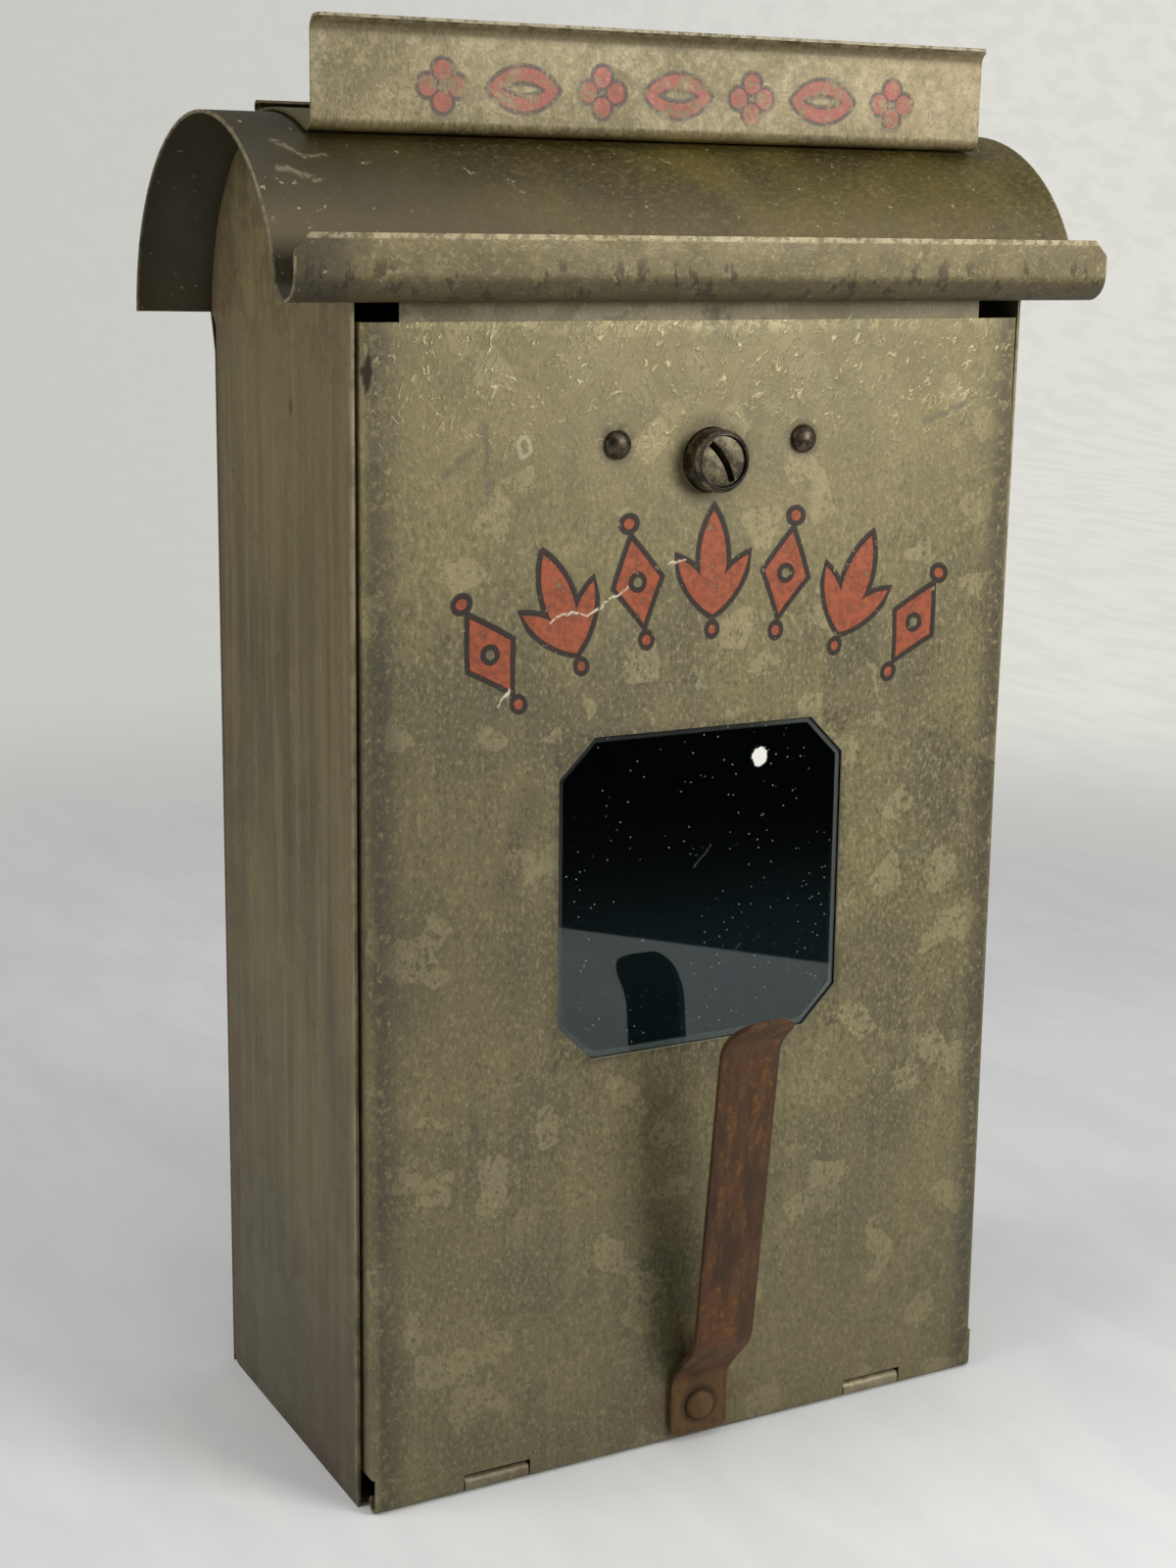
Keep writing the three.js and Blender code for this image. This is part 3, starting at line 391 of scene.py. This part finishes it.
def doorScarsAndPaintedLight(zinc):  # single marks seen in the photograph
    finish, x, z = zinc.finish, zinc.x, zinc.z
    marks, tones = doorMarks, doorTones
    a, _, b = finish.split(zinc.bent(marks["bend"]))
    front = finish.front()
    for start, end in marks["scrapes"]:
        scrape = inside(lineMark(a, b, start, end, marks["scrapeWidth"]), 0.8) * zinc.grain.rise(0.3, 0.5)
        zinc.tint(scrape * front * 0.5, tones["scrape"])
    ringX, ringZ = marks["ring"]
    ring = discMark(a - ringX, (b - ringZ) * marks["ringSquash"], marks["ringRadius"])
    zinc.tint(inside(ring.size() - marks["ringHalfWidth"], 0.35) * front * 0.55, tones["ring"])
    smudge = inside(lineMark(a, b, *marks["smudge"], marks["smudgeWidth"]), 2.2) * zinc.grain.rise(0.5, 0.58)
    zinc.tint(smudge * front * 0.65, tones["smudge"], 0.08)
    # painted shadow round the lock barrel, and a dark ring round each rivet
    halos = [(marks["lock"], marks["lockShadowReach"])] + [(place, marks["rivetHalo"]) for place in marks["rivets"]]
    for centre, reach in halos:
        zinc.tint(distance(a, b, centre).fall(reach * 0.62, reach * 1.15) * 0.45, tones["halo"], 0.1)
    footX, footZ = marks["strapFoot"]
    stain = lozengeMark(a - footX, b - footZ, *marks["stainSize"]).fall(-6, 1.5)
    zinc.tint(stain * zinc.patches.rise(0.36, 0.6) * 0.6, tones["stain"], 0.12)
    (windowX, windowZ), half = marks["window"], marks["windowHalf"]
    rim = ((x - windowX).size() - half).highest((z - windowZ).size() - half)
    zinc.tint(rim.fall(0.3, 2.4) * zinc.mottle.rise(0.4, 0.6) * front * 0.5, zinc.look["grime"], 0.08)
    # painted highlight on the cut edge of the window opening
    zinc.tint(rim.fall(0.5, 0.9) * (1 - front) * 0.8, tones["cutEdgeHighlight"], -0.1)
    rustX, rustZ = marks["edgeRust"]
    rust = lensMark(a - rustX, b - rustZ, *marks["edgeRustSize"])
    zinc.tint(inside(rust, 0.4) * 0.9, tones["rust"], 0.25)
    paintTrim(zinc, archMark(zinc), archTrim, zinc.mottle.rise(0.3, 0.36), zinc.grain.rise(0.14, 0.4) * 0.96)
    for start, end in marks["cracks"]:
        crack = inside(lineMark(a, b, start, end, marks["crackWidth"]), 0.2)
        zinc.tint(crack * zinc.grain.rise(0.38, 0.5) * front, tones["crack"], 0.1)


def makeDoorFinish():
    zinc = Zinc("door zinc", doorZinc)
    doorPaintedLightAndCreases(zinc)
    doorScarsAndPaintedLight(zinc)
    return zinc.made()


# The letter flap: its sign plate is paler than its hinge side

flapTones = {
    "plate": "#877a55", "clouds": "#9c8c66", "right": "#a3916d", "pale": "#bcac85", "dull": "#675d40",
    "darkGrain": "#4a4433", "lightGrain": "#bdae87", "curl": "#5d5339", "topEdgeHighlight": "#c9bfa0",
}


def makeFlapFinish():
    zinc = Zinc("flap zinc", roofZinc)
    x, z, mottle, grain = zinc.x, zinc.z, zinc.mottle, zinc.grain
    plate = z.rise(304.5, 306.5) * (-zinc.y).rise(17, 19)
    zinc.tint(plate * 0.85, flapTones["plate"], -0.04)
    zinc.tint(plate * zinc.clouds.rise(0.4, 0.62) * 0.6, flapTones["clouds"])
    # painted light: the sign plate lighter towards its right
    zinc.tint(plate * x.rise(10, 80) * 0.45, flapTones["right"])
    zinc.tint(plate * mottle.rise(0.53, 0.6) * 0.25, flapTones["pale"], -0.05)
    zinc.tint(plate * mottle.fall(0.38, 0.46) * 0.3, flapTones["dull"], 0.05)
    zinc.tint(plate * grain.fall(0.34, 0.46) * 0.45, flapTones["darkGrain"])
    zinc.tint(plate * grain.rise(0.54, 0.64) * 0.35, flapTones["lightGrain"])
    # painted shade on the plate's lower bend
    zinc.tint(plate * z.fall(305.5, 308.5) * 0.15, zinc.look["dark"], 0.05)
    # painted shade under the curled top edge
    zinc.tint(z.rise(323, 325) * 0.5, flapTones["curl"], 0.05)
    # painted highlight along the curled top edge
    zinc.tint(z.rise(326.2, 327.2) * mottle.rise(0.35, 0.55) * 0.6, flapTones["topEdgeHighlight"], -0.08)
    wear = mottle.rise(0.34, 0.52) * zinc.patches.rise(0.26, 0.5) * 0.9
    paintTrim(zinc, signMark(zinc), signTrim, wear, grain.rise(0.12, 0.44))
    return zinc.made()


# Roof, gutter and back are one sheet: the height and depth tell its parts apart

roofMarks = {
    "bend": 2.6, "backFace": 41, "scratchWidth": 0.8,
    "scratches": [((-93.5, 302.5), (-88, 299)), ((-88, 299), (-83.5, 299.5)), ((-95, 297), (-87, 294.5))],
}
roofTones = {
    "gutter": "#6f6340", "gutterPatches": "#85774f", "gutterGrain": "#a3946b", "left": "#2e2711",
    "stain": "#332c1a", "faintStain": "#4d4530", "gutterEndShade": "#241f14", "gutterLowShade": "#3f3926",
    "lipHighlight": "#c6b892", "sideEdgeHighlight": "#948968", "front": "#86775a", "behindGutterShade": "#2f2a1c",
    "speck": "#b5aa8a", "inner": "#231e12", "scratch": "#9a8e70", "seam": "#5f4029",
}


def gutterStainsAndPaintedLight(zinc, gutter):
    x, z, tones = zinc.x, zinc.z, roofTones
    stains = zinc.finish.noise(zinc.finish.stretched(zinc.place, 1, 1, 0.5), 4.0, 3.0, 0.8)
    zinc.tint(gutter * stains.rise(0.55, 0.61) * z.fall(276, 282) * 0.7, tones["stain"], 0.1)
    zinc.tint(gutter * stains.fall(0.37, 0.43) * 0.35, tones["faintStain"])
    # painted shade at the gutter's left end
    zinc.tint(gutter * x.fall(-93, -84) * 0.6, tones["gutterEndShade"], 0.1)
    # painted shade along the gutter's rounded bottom
    zinc.tint(gutter * z.fall(270.5, 276) * 0.35, tones["gutterLowShade"], 0.05)
    # painted highlight along the gutter's top lip
    zinc.tint(gutter * z.rise(283.0, 283.6) * zinc.mottle.rise(0.36, 0.6) * 0.5, tones["lipHighlight"])


def makeRoofFinish():
    zinc = Zinc("roof zinc", roofZinc, (0.6, 1, 1))
    finish, x, y, z = zinc.finish, zinc.x, zinc.y, zinc.z
    marks, tones = roofMarks, roofTones
    ahead = -y
    fromBack = y - marks["backFace"]
    gutter = ahead.rise(44.6, 46.4) * z.rise(266, 269)
    roof = 1 - gutter
    zinc.tint(fromBack.rise(-2.5, -1.5) * z.fall(262, 266) * 0.7, sideZinc["base"])
    zinc.tint(gutter * 0.75, tones["gutter"], -0.02)
    zinc.tint(gutter * zinc.patches.rise(0.44, 0.6) * 0.4, tones["gutterPatches"])
    zinc.tint(gutter * zinc.grain.rise(0.54, 0.64) * 0.4, tones["gutterGrain"])
    # painted shade: the roof darker towards the left
    zinc.tint(x.fall(-92, -10) * roof * 0.8, tones["left"])
    gutterStainsAndPaintedLight(zinc, gutter)
    # painted highlight on the roof's cut ends
    zinc.tint(x.size().rise(100.6, 101.0) * zinc.mottle.rise(0.3, 0.55) * 0.6, tones["sideEdgeHighlight"], -0.05)
    zinc.tint(roof * z.rise(278, 284) * z.fall(284, 297) * ahead.rise(10, 30) * 0.4, tones["front"])
    # painted shade behind the gutter
    shadeBehindGutter = ahead.rise(36, 44) * roof * z.rise(266, 270) * z.fall(279, 290)
    zinc.tint(shadeBehindGutter * 0.5, tones["behindGutterShade"], 0.15)
    zinc.tint(zinc.mottle.rise(0.66, 0.7) * zinc.patches.rise(0.45, 0.6) * 0.7, tones["speck"], 0.1)
    # painted shade on the undersides that face down
    inner = finish.facing()[2].fall(-0.35, 0.0) * z.rise(264, 266)
    zinc.tint(inner * 0.5, tones["inner"], 0.1)
    a, _, b = finish.split(zinc.bent(marks["bend"]))
    for start, end in marks["scratches"]:
        scratch = inside(lineMark(a, b, start, end, marks["scratchWidth"]), 0.5) * zinc.mottle.rise(0.34, 0.5)
        zinc.tint(scratch * ahead.rise(2, 5) * 0.6, tones["scratch"])
    seam = fromBack.size().fall(0.5, 3.5) * z.fall(263, 266)
    zinc.tint(seam * zinc.patches.rise(0.4, 0.62) * 0.4, tones["seam"], 0.15)
    return zinc.made()


# The side panels, with marks as places back and up

sideMarks = {
    "bendDeep": 20, "bendUp": 24, "arc": ((34, 233), (14, 216)), "arcWidth": 0.7,
    "spot": (-7, 247), "spotSquash": 0.5, "spotRadius": 1.0, "streakSquash": 0.035, "streakWidth": 5,
}
sideTones = {
    "darkStreak": "#463d25", "paleStreak": "#7b6e45", "top": "#84754a", "low": "#434131",
    "lowFront": "#5b4033", "rear": "#584032", "foot": "#3b3024", "frontEdgeHighlight": "#9f9474",
    "arc": "#403829", "spot": "#2a241a",
}


def makeSideFinish():
    zinc = Zinc("side zinc", sideZinc)
    finish, y, z, patches = zinc.finish, zinc.y, zinc.z, zinc.patches
    marks, tones = sideMarks, sideTones
    deep = y + (patches - 0.5) * marks["bendDeep"]
    up = z + (zinc.clouds - 0.5) * marks["bendUp"]
    drawn = finish.stretched(zinc.place, 1, 1, marks["streakSquash"])
    streaks = finish.noise(drawn, marks["streakWidth"], 2.0, 0.65)
    zinc.tint(streaks.rise(0.52, 0.66) * 0.4, tones["darkStreak"], 0.03)
    zinc.tint(streaks.fall(0.34, 0.46) * 0.4, tones["paleStreak"])
    # painted light and shade: the side panels lighter towards the top, darker towards the bottom
    zinc.tint(z.rise(180, 275) * 0.3, tones["top"])
    zinc.tint(z.fall(0, 130) * 0.6, tones["low"])
    zinc.tint(z.rise(246, 268) * patches.rise(0.4, 0.62) * 0.35, zinc.look["grime"])
    zinc.tint(up.fall(10, 62) * deep.fall(-20, 8) * patches.rise(0.34, 0.6) * 0.5, tones["lowFront"], 0.08)
    zinc.tint(deep.rise(32, 38) * 0.4, tones["rear"], 0.08)
    zinc.tint(z.fall(0, 9) * patches.rise(0.3, 0.6) * 0.55, tones["foot"], 0.1)
    # painted highlight along the side panel's front edge
    zinc.tint((-y).rise(38.6, 40.6) * patches.rise(0.36, 0.6) * 0.5, tones["frontEdgeHighlight"], -0.05)
    zinc.tint(inside(lineMark(deep, up, *marks["arc"], marks["arcWidth"]), 0.4) * 0.4, tones["arc"])
    spotY, spotZ = marks["spot"]
    spot = discMark(y - spotY, (z - spotZ) * marks["spotSquash"], marks["spotRadius"])
    zinc.tint(inside(spot, 0.6) * 0.6, tones["spot"])
    return zinc.made()


# Sheet that is mostly out of sight

innerTones = {"header": "#5e563a", "headerGrain": "#857b57", "headerGrime": "#4a3f2d", "patches": "#54452f"}


def makeHeaderFinish():
    zinc = Zinc("header zinc", innerZinc)
    zinc.tint(0.7 + zinc.mottle * 0.2, innerTones["header"], 0.02)
    zinc.tint(zinc.grain.rise(0.5, 0.62) * 0.6, innerTones["headerGrain"])
    zinc.tint(zinc.patches.fall(0.3, 0.42) * 0.4, innerTones["headerGrime"], 0.1)
    return zinc.made()


def makeInnerFinish():
    zinc = Zinc("inner zinc", innerZinc)
    zinc.tint(zinc.patches.rise(0.42, 0.62) * 0.35, innerTones["patches"], 0.1)
    return zinc.made()


# Rust on the newspaper strap and its rivet

rustLook = {
    "base": "#54361b", "dark": "#3a2614", "orange": "#7a5420", "band": "#6f3c17", "edge": "#3c2716",
    "foot": "#5c431f", "ring": "#2e2117", "rivet": (0.9, 9.5), "metal": 0.0, "shine": 0.3, "rough": 0.6,
    "dullest": 0.95, "pitDepth": 0.28, "pitStrength": 0.7,
}


def makeRustFinish():
    look = rustLook
    finish = Finish("strap rust")
    place = finish.place()
    x, _, z = finish.split(place)
    clouds = finish.noise(finish.stretched(place, 1, 1, 0.22), 5, 3.0, 0.75)
    fine = finish.noise(place, 0.8, 2.0, 0.8)
    pits = finish.noise(place, 2.0, 3.0, 0.8)
    fromRivet = distance(x, z, look["rivet"])
    fromMiddle = (x - look["rivet"][0]).size()
    colour = finish.blend(clouds.rise(0.34, 0.62), look["dark"], look["base"])
    for amount, tone in [
        (pits.rise(0.5, 0.66) * clouds.rise(0.4, 0.58) * 0.7, "orange"),
        (z.rise(20, 32) * z.fall(32, 46) * pits.rise(0.4, 0.6) * 0.18, "band"),
        (fine.fall(0.34, 0.5) * 0.45, "dark"),
        (z.fall(13, 20) * pits.rise(0.3, 0.5) * 0.8, "foot"),
        (fromRivet.rise(3.2, 4.0) * fromRivet.fall(4.4, 5.8) * pits.rise(0.3, 0.5) * 0.75, "ring"),
        (fromMiddle.rise(6.3, 7.4) * fine.rise(0.36, 0.56) * 0.6, "edge"),
    ]:
        colour = finish.blend(amount, colour, look[tone])
    rough = look["rough"] + (fine - 0.5) * 0.3 + pits.rise(0.5, 0.7) * 0.12
    return finish.closed(finish.glossy(
        Base_Color=colour, Metallic=look["metal"], Specular_IOR_Level=look["shine"],
        Roughness=rough.lowest(look["dullest"]),
        Normal=finish.bump(fine * 0.5 + pits, look["pitDepth"], look["pitStrength"])))


# Tarnished small metal: the lock's barrel has a dark groove round its plug

tarnish = {
    "rivet": {"base": "#54493a", "dark": "#2c251b", "light": "#7d715a", "metal": 0.7, "rough": 0.42},
    "lock": {"base": "#5f5541", "dark": "#2b251b", "light": "#a0926f", "metal": 0.6, "rough": 0.36,
             "groove": "#15110c", "grooveAt": 5.65},
    "plug": {"base": "#5f563f", "dark": "#383224", "light": "#8b7f5d", "metal": 0.6, "rough": 0.42},
    "hidden": {"base": "#5b5345", "dark": "#332d24", "light": "#7f7663", "metal": 0.7, "rough": 0.45},
}


def makeTarnishFinish(name):
    look = tarnish[name]
    finish = Finish(name + " metal")
    place = finish.place()
    clouds = finish.noise(place, 3.0, 3.0, 0.75)
    fine = finish.noise(place, 0.5, 2.0, 0.7)
    colour = finish.blend(clouds.rise(0.38, 0.62), look["dark"], look["base"])
    colour = finish.blend(fine.rise(0.5, 0.66) * clouds.rise(0.4, 0.6) * 0.6, colour, look["light"])
    if "groove" in look:
        x, _, z = finish.split(place)
        fromGroove = (distance(x, z, doorMarks["lock"]) - look["grooveAt"]).size()
        colour = finish.blend(fromGroove.fall(0.2, 0.9) * 0.85, colour, look["groove"])
    return finish.closed(finish.glossy(
        Base_Color=colour, Metallic=look["metal"], Roughness=look["rough"] + (fine - 0.5) * 0.35,
        Normal=finish.bump(fine * 0.4 + clouds, 0.12, 0.6)))


# Glass: dark, dusty, with one fleck of paint

glassLook = {
    "low": "#3f6f72", "high": "#142426", "rough": 0.012, "clear": 0.96, "bending": 1.5,
    "dust": "#a3a89f", "dustSpacing": 1.9, "dirtRough": 0.8, "rim": "#4a5652", "cornerCut": 9,
    "fleck": (15.1, 167.3), "fleckRadius": 2.3, "fleckSquash": 1.15, "fleckPaint": "#e6e4dc",
    "flaws": [((-2, 143), (2.5, 147.5)), ((9, 121), (11, 123))], "flawWidth": 0.3,
    "swirlSize": 1.6, "bend": 1.6,
}


def glassRim(x, z, drifts):  # a grey-green band along the edge of the pane, most of it right and bottom
    (windowX, windowZ), half = doorMarks["window"], doorMarks["windowHalf"]
    a = (x - windowX).size()
    b = (z - windowZ).size()
    fromCorner = (2 * half - glassLook["cornerCut"] - a - b) * math.sqrt(0.5)
    fromRim = (half - a).lowest(half - b).lowest(fromCorner)
    shown = (0.12 + x.rise(8, 37) * 0.5).highest(z.fall(102, 104)) * (0.5 + drifts)
    return fromRim.rise(0.2, 0.5) * fromRim.fall(1.1, 1.6) * shown


def makeGlassFinish():
    look = glassLook
    finish = Finish("old glass")
    place = finish.place()
    x, _, z = finish.split(place)
    swirl = finish.noise(place, look["swirlSize"], 3.0, 0.5, output="Color")
    a, _, b = finish.split(finish.moved(place, swirl, look["bend"]))
    drifts = finish.noise(place, 13, 2.0, 0.55)
    dots = finish.cells(place, look["dustSpacing"]).fall(0.08, 0.13) * drifts.rise(0.42, 0.54)
    fleckX, fleckZ = look["fleck"]
    fleck = inside(discMark((a - fleckX) * look["fleckSquash"], b - fleckZ, look["fleckRadius"]), 0.2)
    rim = glassRim(x, z, drifts)
    flaws = union([lineMark(a, b, start, end, look["flawWidth"]) for start, end in look["flaws"]])
    pane = finish.glossy(
        Base_Color=finish.blend(z.rise(118, 150), look["low"], look["high"]),
        Roughness=look["rough"], Transmission_Weight=look["clear"], IOR=look["bending"])
    soiled = finish.blend(fleck, finish.blend(rim, look["dust"], look["rim"]), look["fleckPaint"])
    dustAndRim = finish.glossy(Base_Color=soiled, Roughness=look["dirtRough"])
    covered = (dots * 0.5).highest(fleck).highest(rim * 0.6).highest(inside(flaws, 0.3) * 0.12)
    return finish.closed(finish.either(covered * finish.front(), pane, dustAndRim))


# Every CAD sheet keeps its shape, with smooth bends and crisp folds

edgeLook = {"softUnder": 24, "bevelOver": 35, "bevelSteps": 3, "weld": 0.000002}
bevelled = {
    "newspaper_strap": 0.00028, "lock_barrel": 0.0002, "lock_plug": 0.00012, "strap_rivet": 0.0002,
    "lock_rivet_left": 0.0002, "lock_rivet_right": 0.0002,
}


def newGeometryGroup(name, *kinds):  # a group that takes and gives geometry, its ends, and these nodes in it
    group = bpy.data.node_groups.new(name, "GeometryNodeTree")
    for direction in ("INPUT", "OUTPUT"):
        group.interface.new_socket("Geometry", in_out=direction, socket_type="NodeSocketGeometry")
    made = [group.nodes.new(kind) for kind in ("NodeGroupInput", *kinds, "NodeGroupOutput")]
    return group, made


def makeSoftBends():
    group, made = newGeometryGroup(
        "soft bends", "GeometryNodeSetShadeSmooth", "GeometryNodeSetShadeSmooth",
        "GeometryNodeInputMeshEdgeAngle", "FunctionNodeCompare")
    start, faces, edges, angle, flat, end = made
    edges.domain = "EDGE"
    flat.operation = "LESS_THAN"
    flat.inputs[1].default_value = math.radians(edgeLook["softUnder"])
    group.links.new(angle.outputs[0], flat.inputs[0])
    group.links.new(flat.outputs[0], edges.inputs["Shade Smooth"])
    group.links.new(start.outputs[0], faces.inputs["Geometry"])
    group.links.new(faces.outputs[0], edges.inputs["Geometry"])
    group.links.new(edges.outputs[0], end.inputs[0])
    return group


def dress(node, material):
    piece = nodes[node]
    piece.data.materials.clear()
    piece.data.materials.append(material)
    weld = piece.modifiers.new("one skin", "WELD")
    weld.merge_threshold = edgeLook["weld"]
    if node in bevelled:
        bevel = piece.modifiers.new("worn edges", "BEVEL")
        bevel.width = bevelled[node]
        bevel.segments = edgeLook["bevelSteps"]
        bevel.limit_method = "ANGLE"
        bevel.angle_limit = math.radians(edgeLook["bevelOver"])
    piece.modifiers.new("soft bends", "NODES").node_group = softBends


softBends = makeSoftBends()
inner = makeInnerFinish()
hidden = makeTarnishFinish("hidden")
rivetMetal = makeTarnishFinish("rivet")
side = makeSideFinish()
rust = makeRustFinish()
finishes = {
    "door": makeDoorFinish(), "letter_flap": makeFlapFinish(), "back_and_roof": makeRoofFinish(),
    "left_side_panel": side, "right_side_panel": side, "header_strip": makeHeaderFinish(),
    "bottom_panel": inner, "window_glass": makeGlassFinish(), "newspaper_strap": rust, "strap_rivet": rust,
    "lock_barrel": makeTarnishFinish("lock"), "lock_plug": makeTarnishFinish("plug"),
    "lock_rivet_left": rivetMetal, "lock_rivet_right": rivetMetal,
}
for node in nodes:
    spare = inner if node.startswith("glass_retainer") else hidden
    dress(node, finishes.get(node, spare))
print("finishes made:", len(bpy.data.materials))


# The floor: a pale bowl of paper that fades into a glowing backdrop, with painted shade to the left and
# painted light to the right

floorLook = {
    "radius": 2.4, "bowlRadius": 1.3, "bowlSteps": 16, "wallHeight": 3.2, "sides": 96,
    "paper": "#ebebe9", "paperDark": "#e6e6e5", "paperRough": 0.85, "mottleSize": 0.03, "mottleSquash": 0.35,
    "backdropLeftShade": "#cacac5", "backdropRightLight": "#e0dfd8", "backdropMottle": "#c4c4bf",
    "fadeFrom": 0.4, "fadeTo": 0.95,
    # beyond this line mirror rays find the floor dark, which gives the glass its dark upper part
    "darkTurn": 35.6, "darkFrom": 0.430, "darkBehind": -0.30, "dark": "#0a0a0a", "darkRough": 0.9,
}
camera = {
    "place": (-0.2784, -0.5043, 0.2897), "yaw": 28.345, "pitch": 13.377, "roll": 0.976,
    "focalPixels": 2468.6, "imageHeight": 1600, "clipStart": 0.01,
}


def bowlMesh():
    look = floorLook
    profile = [(look["radius"], 0.0)]
    for step in range(1, look["bowlSteps"] + 1):
        turn = math.pi / 2 * step / look["bowlSteps"]
        out, up = math.sin(turn), 1 - math.cos(turn)
        profile.append((look["radius"] + look["bowlRadius"] * out, look["bowlRadius"] * up))
    profile.append((profile[-1][0], look["wallHeight"]))
    sides = look["sides"]
    corners = [(0, 0, 0)]
    for radius, height in profile:
        for i in range(sides):
            turn = math.tau * i / sides
            corners.append((radius * math.cos(turn), radius * math.sin(turn), height))
    faces = [(0, 1 + i, 1 + (i + 1) % sides) for i in range(sides)]
    for ring in range(len(profile) - 1):
        low = 1 + ring * sides
        for i in range(sides):
            j = (i + 1) % sides
            faces.append((low + i, low + sides + i, low + sides + j, low + j))
    mesh = bpy.data.meshes.new("paper floor")
    mesh.from_pydata(corners, [], faces)
    mesh.shade_smooth()
    return mesh


def makePaperFinish():
    look = floorLook
    finish = Finish("floor paper")
    place = finish.add("TexCoord", output="Object")
    x, y, _ = finish.split(place)
    mottle = finish.noise(finish.stretched(place, 1, look["mottleSquash"], 1), look["mottleSize"], 3.0, 0.6)
    light = finish.add("LightPath").socket.node
    seen, mirrored = [Wire(finish, light.outputs[name]) for name in ("Is Camera Ray", "Is Glossy Ray")]
    turn = math.radians(look["darkTurn"])
    ahead = x * math.cos(turn) - y * math.sin(turn) - look["darkFrom"]
    unlit = mirrored * ahead.rise(-0.002, 0.002) * y.fall(look["darkBehind"] - 0.01, look["darkBehind"])
    yaw = math.radians(camera["yaw"])
    forward = (x * math.sin(yaw) + y * math.cos(yaw)).highest(0.2)
    bearing = (x * math.cos(yaw) - y * math.sin(yaw)) / forward
    # painted shade and light: the glowing backdrop darker to the left, lighter to the right
    tone = finish.blend(bearing.rise(-0.3, 0.3), look["backdropLeftShade"], look["backdropRightLight"])
    paper = finish.glossy(
        Base_Color=finish.blend(mottle.rise(0.4, 0.6), look["paperDark"], look["paper"]),
        Roughness=look["paperRough"])
    backdrop = finish.add("Emission", sockets={
        "Color": finish.blend(mottle.rise(0.42, 0.6) * 0.2, tone, look["backdropMottle"])})
    dark = finish.glossy(Base_Color=asColour(look["dark"]), Roughness=look["darkRough"])
    far = discMark(x, y, 0).rise(look["fadeFrom"], look["fadeTo"]) * seen
    return finish.closed(finish.either(unlit, finish.either(far, paper, backdrop), dark))


def makeClearance(swinging):  # the floor sinks as far as these pieces hang below it, as under a box on a wall
    group, made = newGeometryGroup(
        "clear of the door", "GeometryNodeJoinGeometry", "GeometryNodeBoundBox", "ShaderNodeSeparateXYZ",
        "ShaderNodeMath", "ShaderNodeCombineXYZ", "GeometryNodeTransform")
    start, pieces, box, corner, drop, shift, moved, end = made
    for name in swinging:
        piece = group.nodes.new("GeometryNodeObjectInfo")
        piece.transform_space = "RELATIVE"
        piece.inputs["Object"].default_value = nodes[name]
        group.links.new(piece.outputs["Geometry"], pieces.inputs[0])
    drop.operation = "MINIMUM"
    drop.inputs[1].default_value = 0
    group.links.new(pieces.outputs[0], box.inputs[0])
    group.links.new(box.outputs["Min"], corner.inputs[0])
    group.links.new(corner.outputs["Z"], drop.inputs[0])
    group.links.new(drop.outputs[0], shift.inputs["Z"])
    group.links.new(shift.outputs[0], moved.inputs["Translation"])
    group.links.new(start.outputs[0], moved.inputs["Geometry"])
    group.links.new(moved.outputs[0], end.inputs[0])
    return group


def makeFloor():
    mesh = bowlMesh()
    mesh.materials.append(makePaperFinish())
    floor = bpy.data.objects.new("paper_floor", mesh)
    bpy.context.scene.collection.objects.link(floor)
    floor.modifiers.new("clear of the door", "NODES").node_group = makeClearance(["door", "newspaper_strap"])


# Soft light, and the photograph's camera

lamps = {
    "key light": {"place": (0.33, -0.56, 0.40), "target": (0, -0.04, 0.17), "size": 0.3, "power": 3.1},
    "top light": {"place": (0.0, -0.2, 1.5), "target": (0, 0, 0.1), "size": 1.3, "power": 6.3},
    "fill light": {"place": (-0.95, 0.05, 0.6), "target": (0, 0, 0.15), "size": 0.7, "power": 4.6},
}
skyLook = {"colour": (0.95, 0.97, 1.0, 1), "strength": 0.27}


def makeLight(name, look):
    lamp = bpy.data.lights.new(name, "AREA")
    lamp.size = look["size"]
    lamp.energy = look["power"]
    light = bpy.data.objects.new(name, lamp)
    light.location = look["place"]
    aim = Vector(look["target"]) - Vector(look["place"])
    light.rotation_euler = aim.to_track_quat("-Z", "Y").to_euler()
    bpy.context.scene.collection.objects.link(light)


def makeSky():
    world = bpy.data.worlds.new("studio sky")
    bpy.context.scene.world = world
    world.use_nodes = True
    sky = Finish("sky", world.node_tree)
    glow = sky.add("Background", sockets={"Color": skyLook["colour"], "Strength": skyLook["strength"]})
    sky.add("OutputWorld", sockets={"Surface": glow})


def makeCamera():
    data = bpy.data.cameras.new("photo camera")
    data.lens = data.sensor_width * camera["focalPixels"] / camera["imageHeight"]
    data.clip_start = camera["clipStart"]
    view = bpy.data.objects.new("photo camera", data)
    yaw, pitch, roll = [math.radians(camera[key]) for key in ("yaw", "pitch", "roll")]
    forward = Vector((math.sin(yaw) * math.cos(pitch), math.cos(yaw) * math.cos(pitch), -math.sin(pitch)))
    level = Vector((math.cos(yaw), -math.sin(yaw), 0))
    upright = level.cross(forward)
    right = math.cos(roll) * level + math.sin(roll) * upright
    up = math.cos(roll) * upright - math.sin(roll) * level
    turn = Matrix((right, up, -forward)).transposed().to_4x4()
    view.matrix_world = Matrix.Translation(camera["place"]) @ turn
    bpy.context.scene.collection.objects.link(view)
    bpy.context.scene.camera = view


makeFloor()
for name, look in lamps.items():
    makeLight(name, look)
makeSky()
makeCamera()
bpy.context.scene.view_settings.view_transform = "Standard"
print("studio ready")
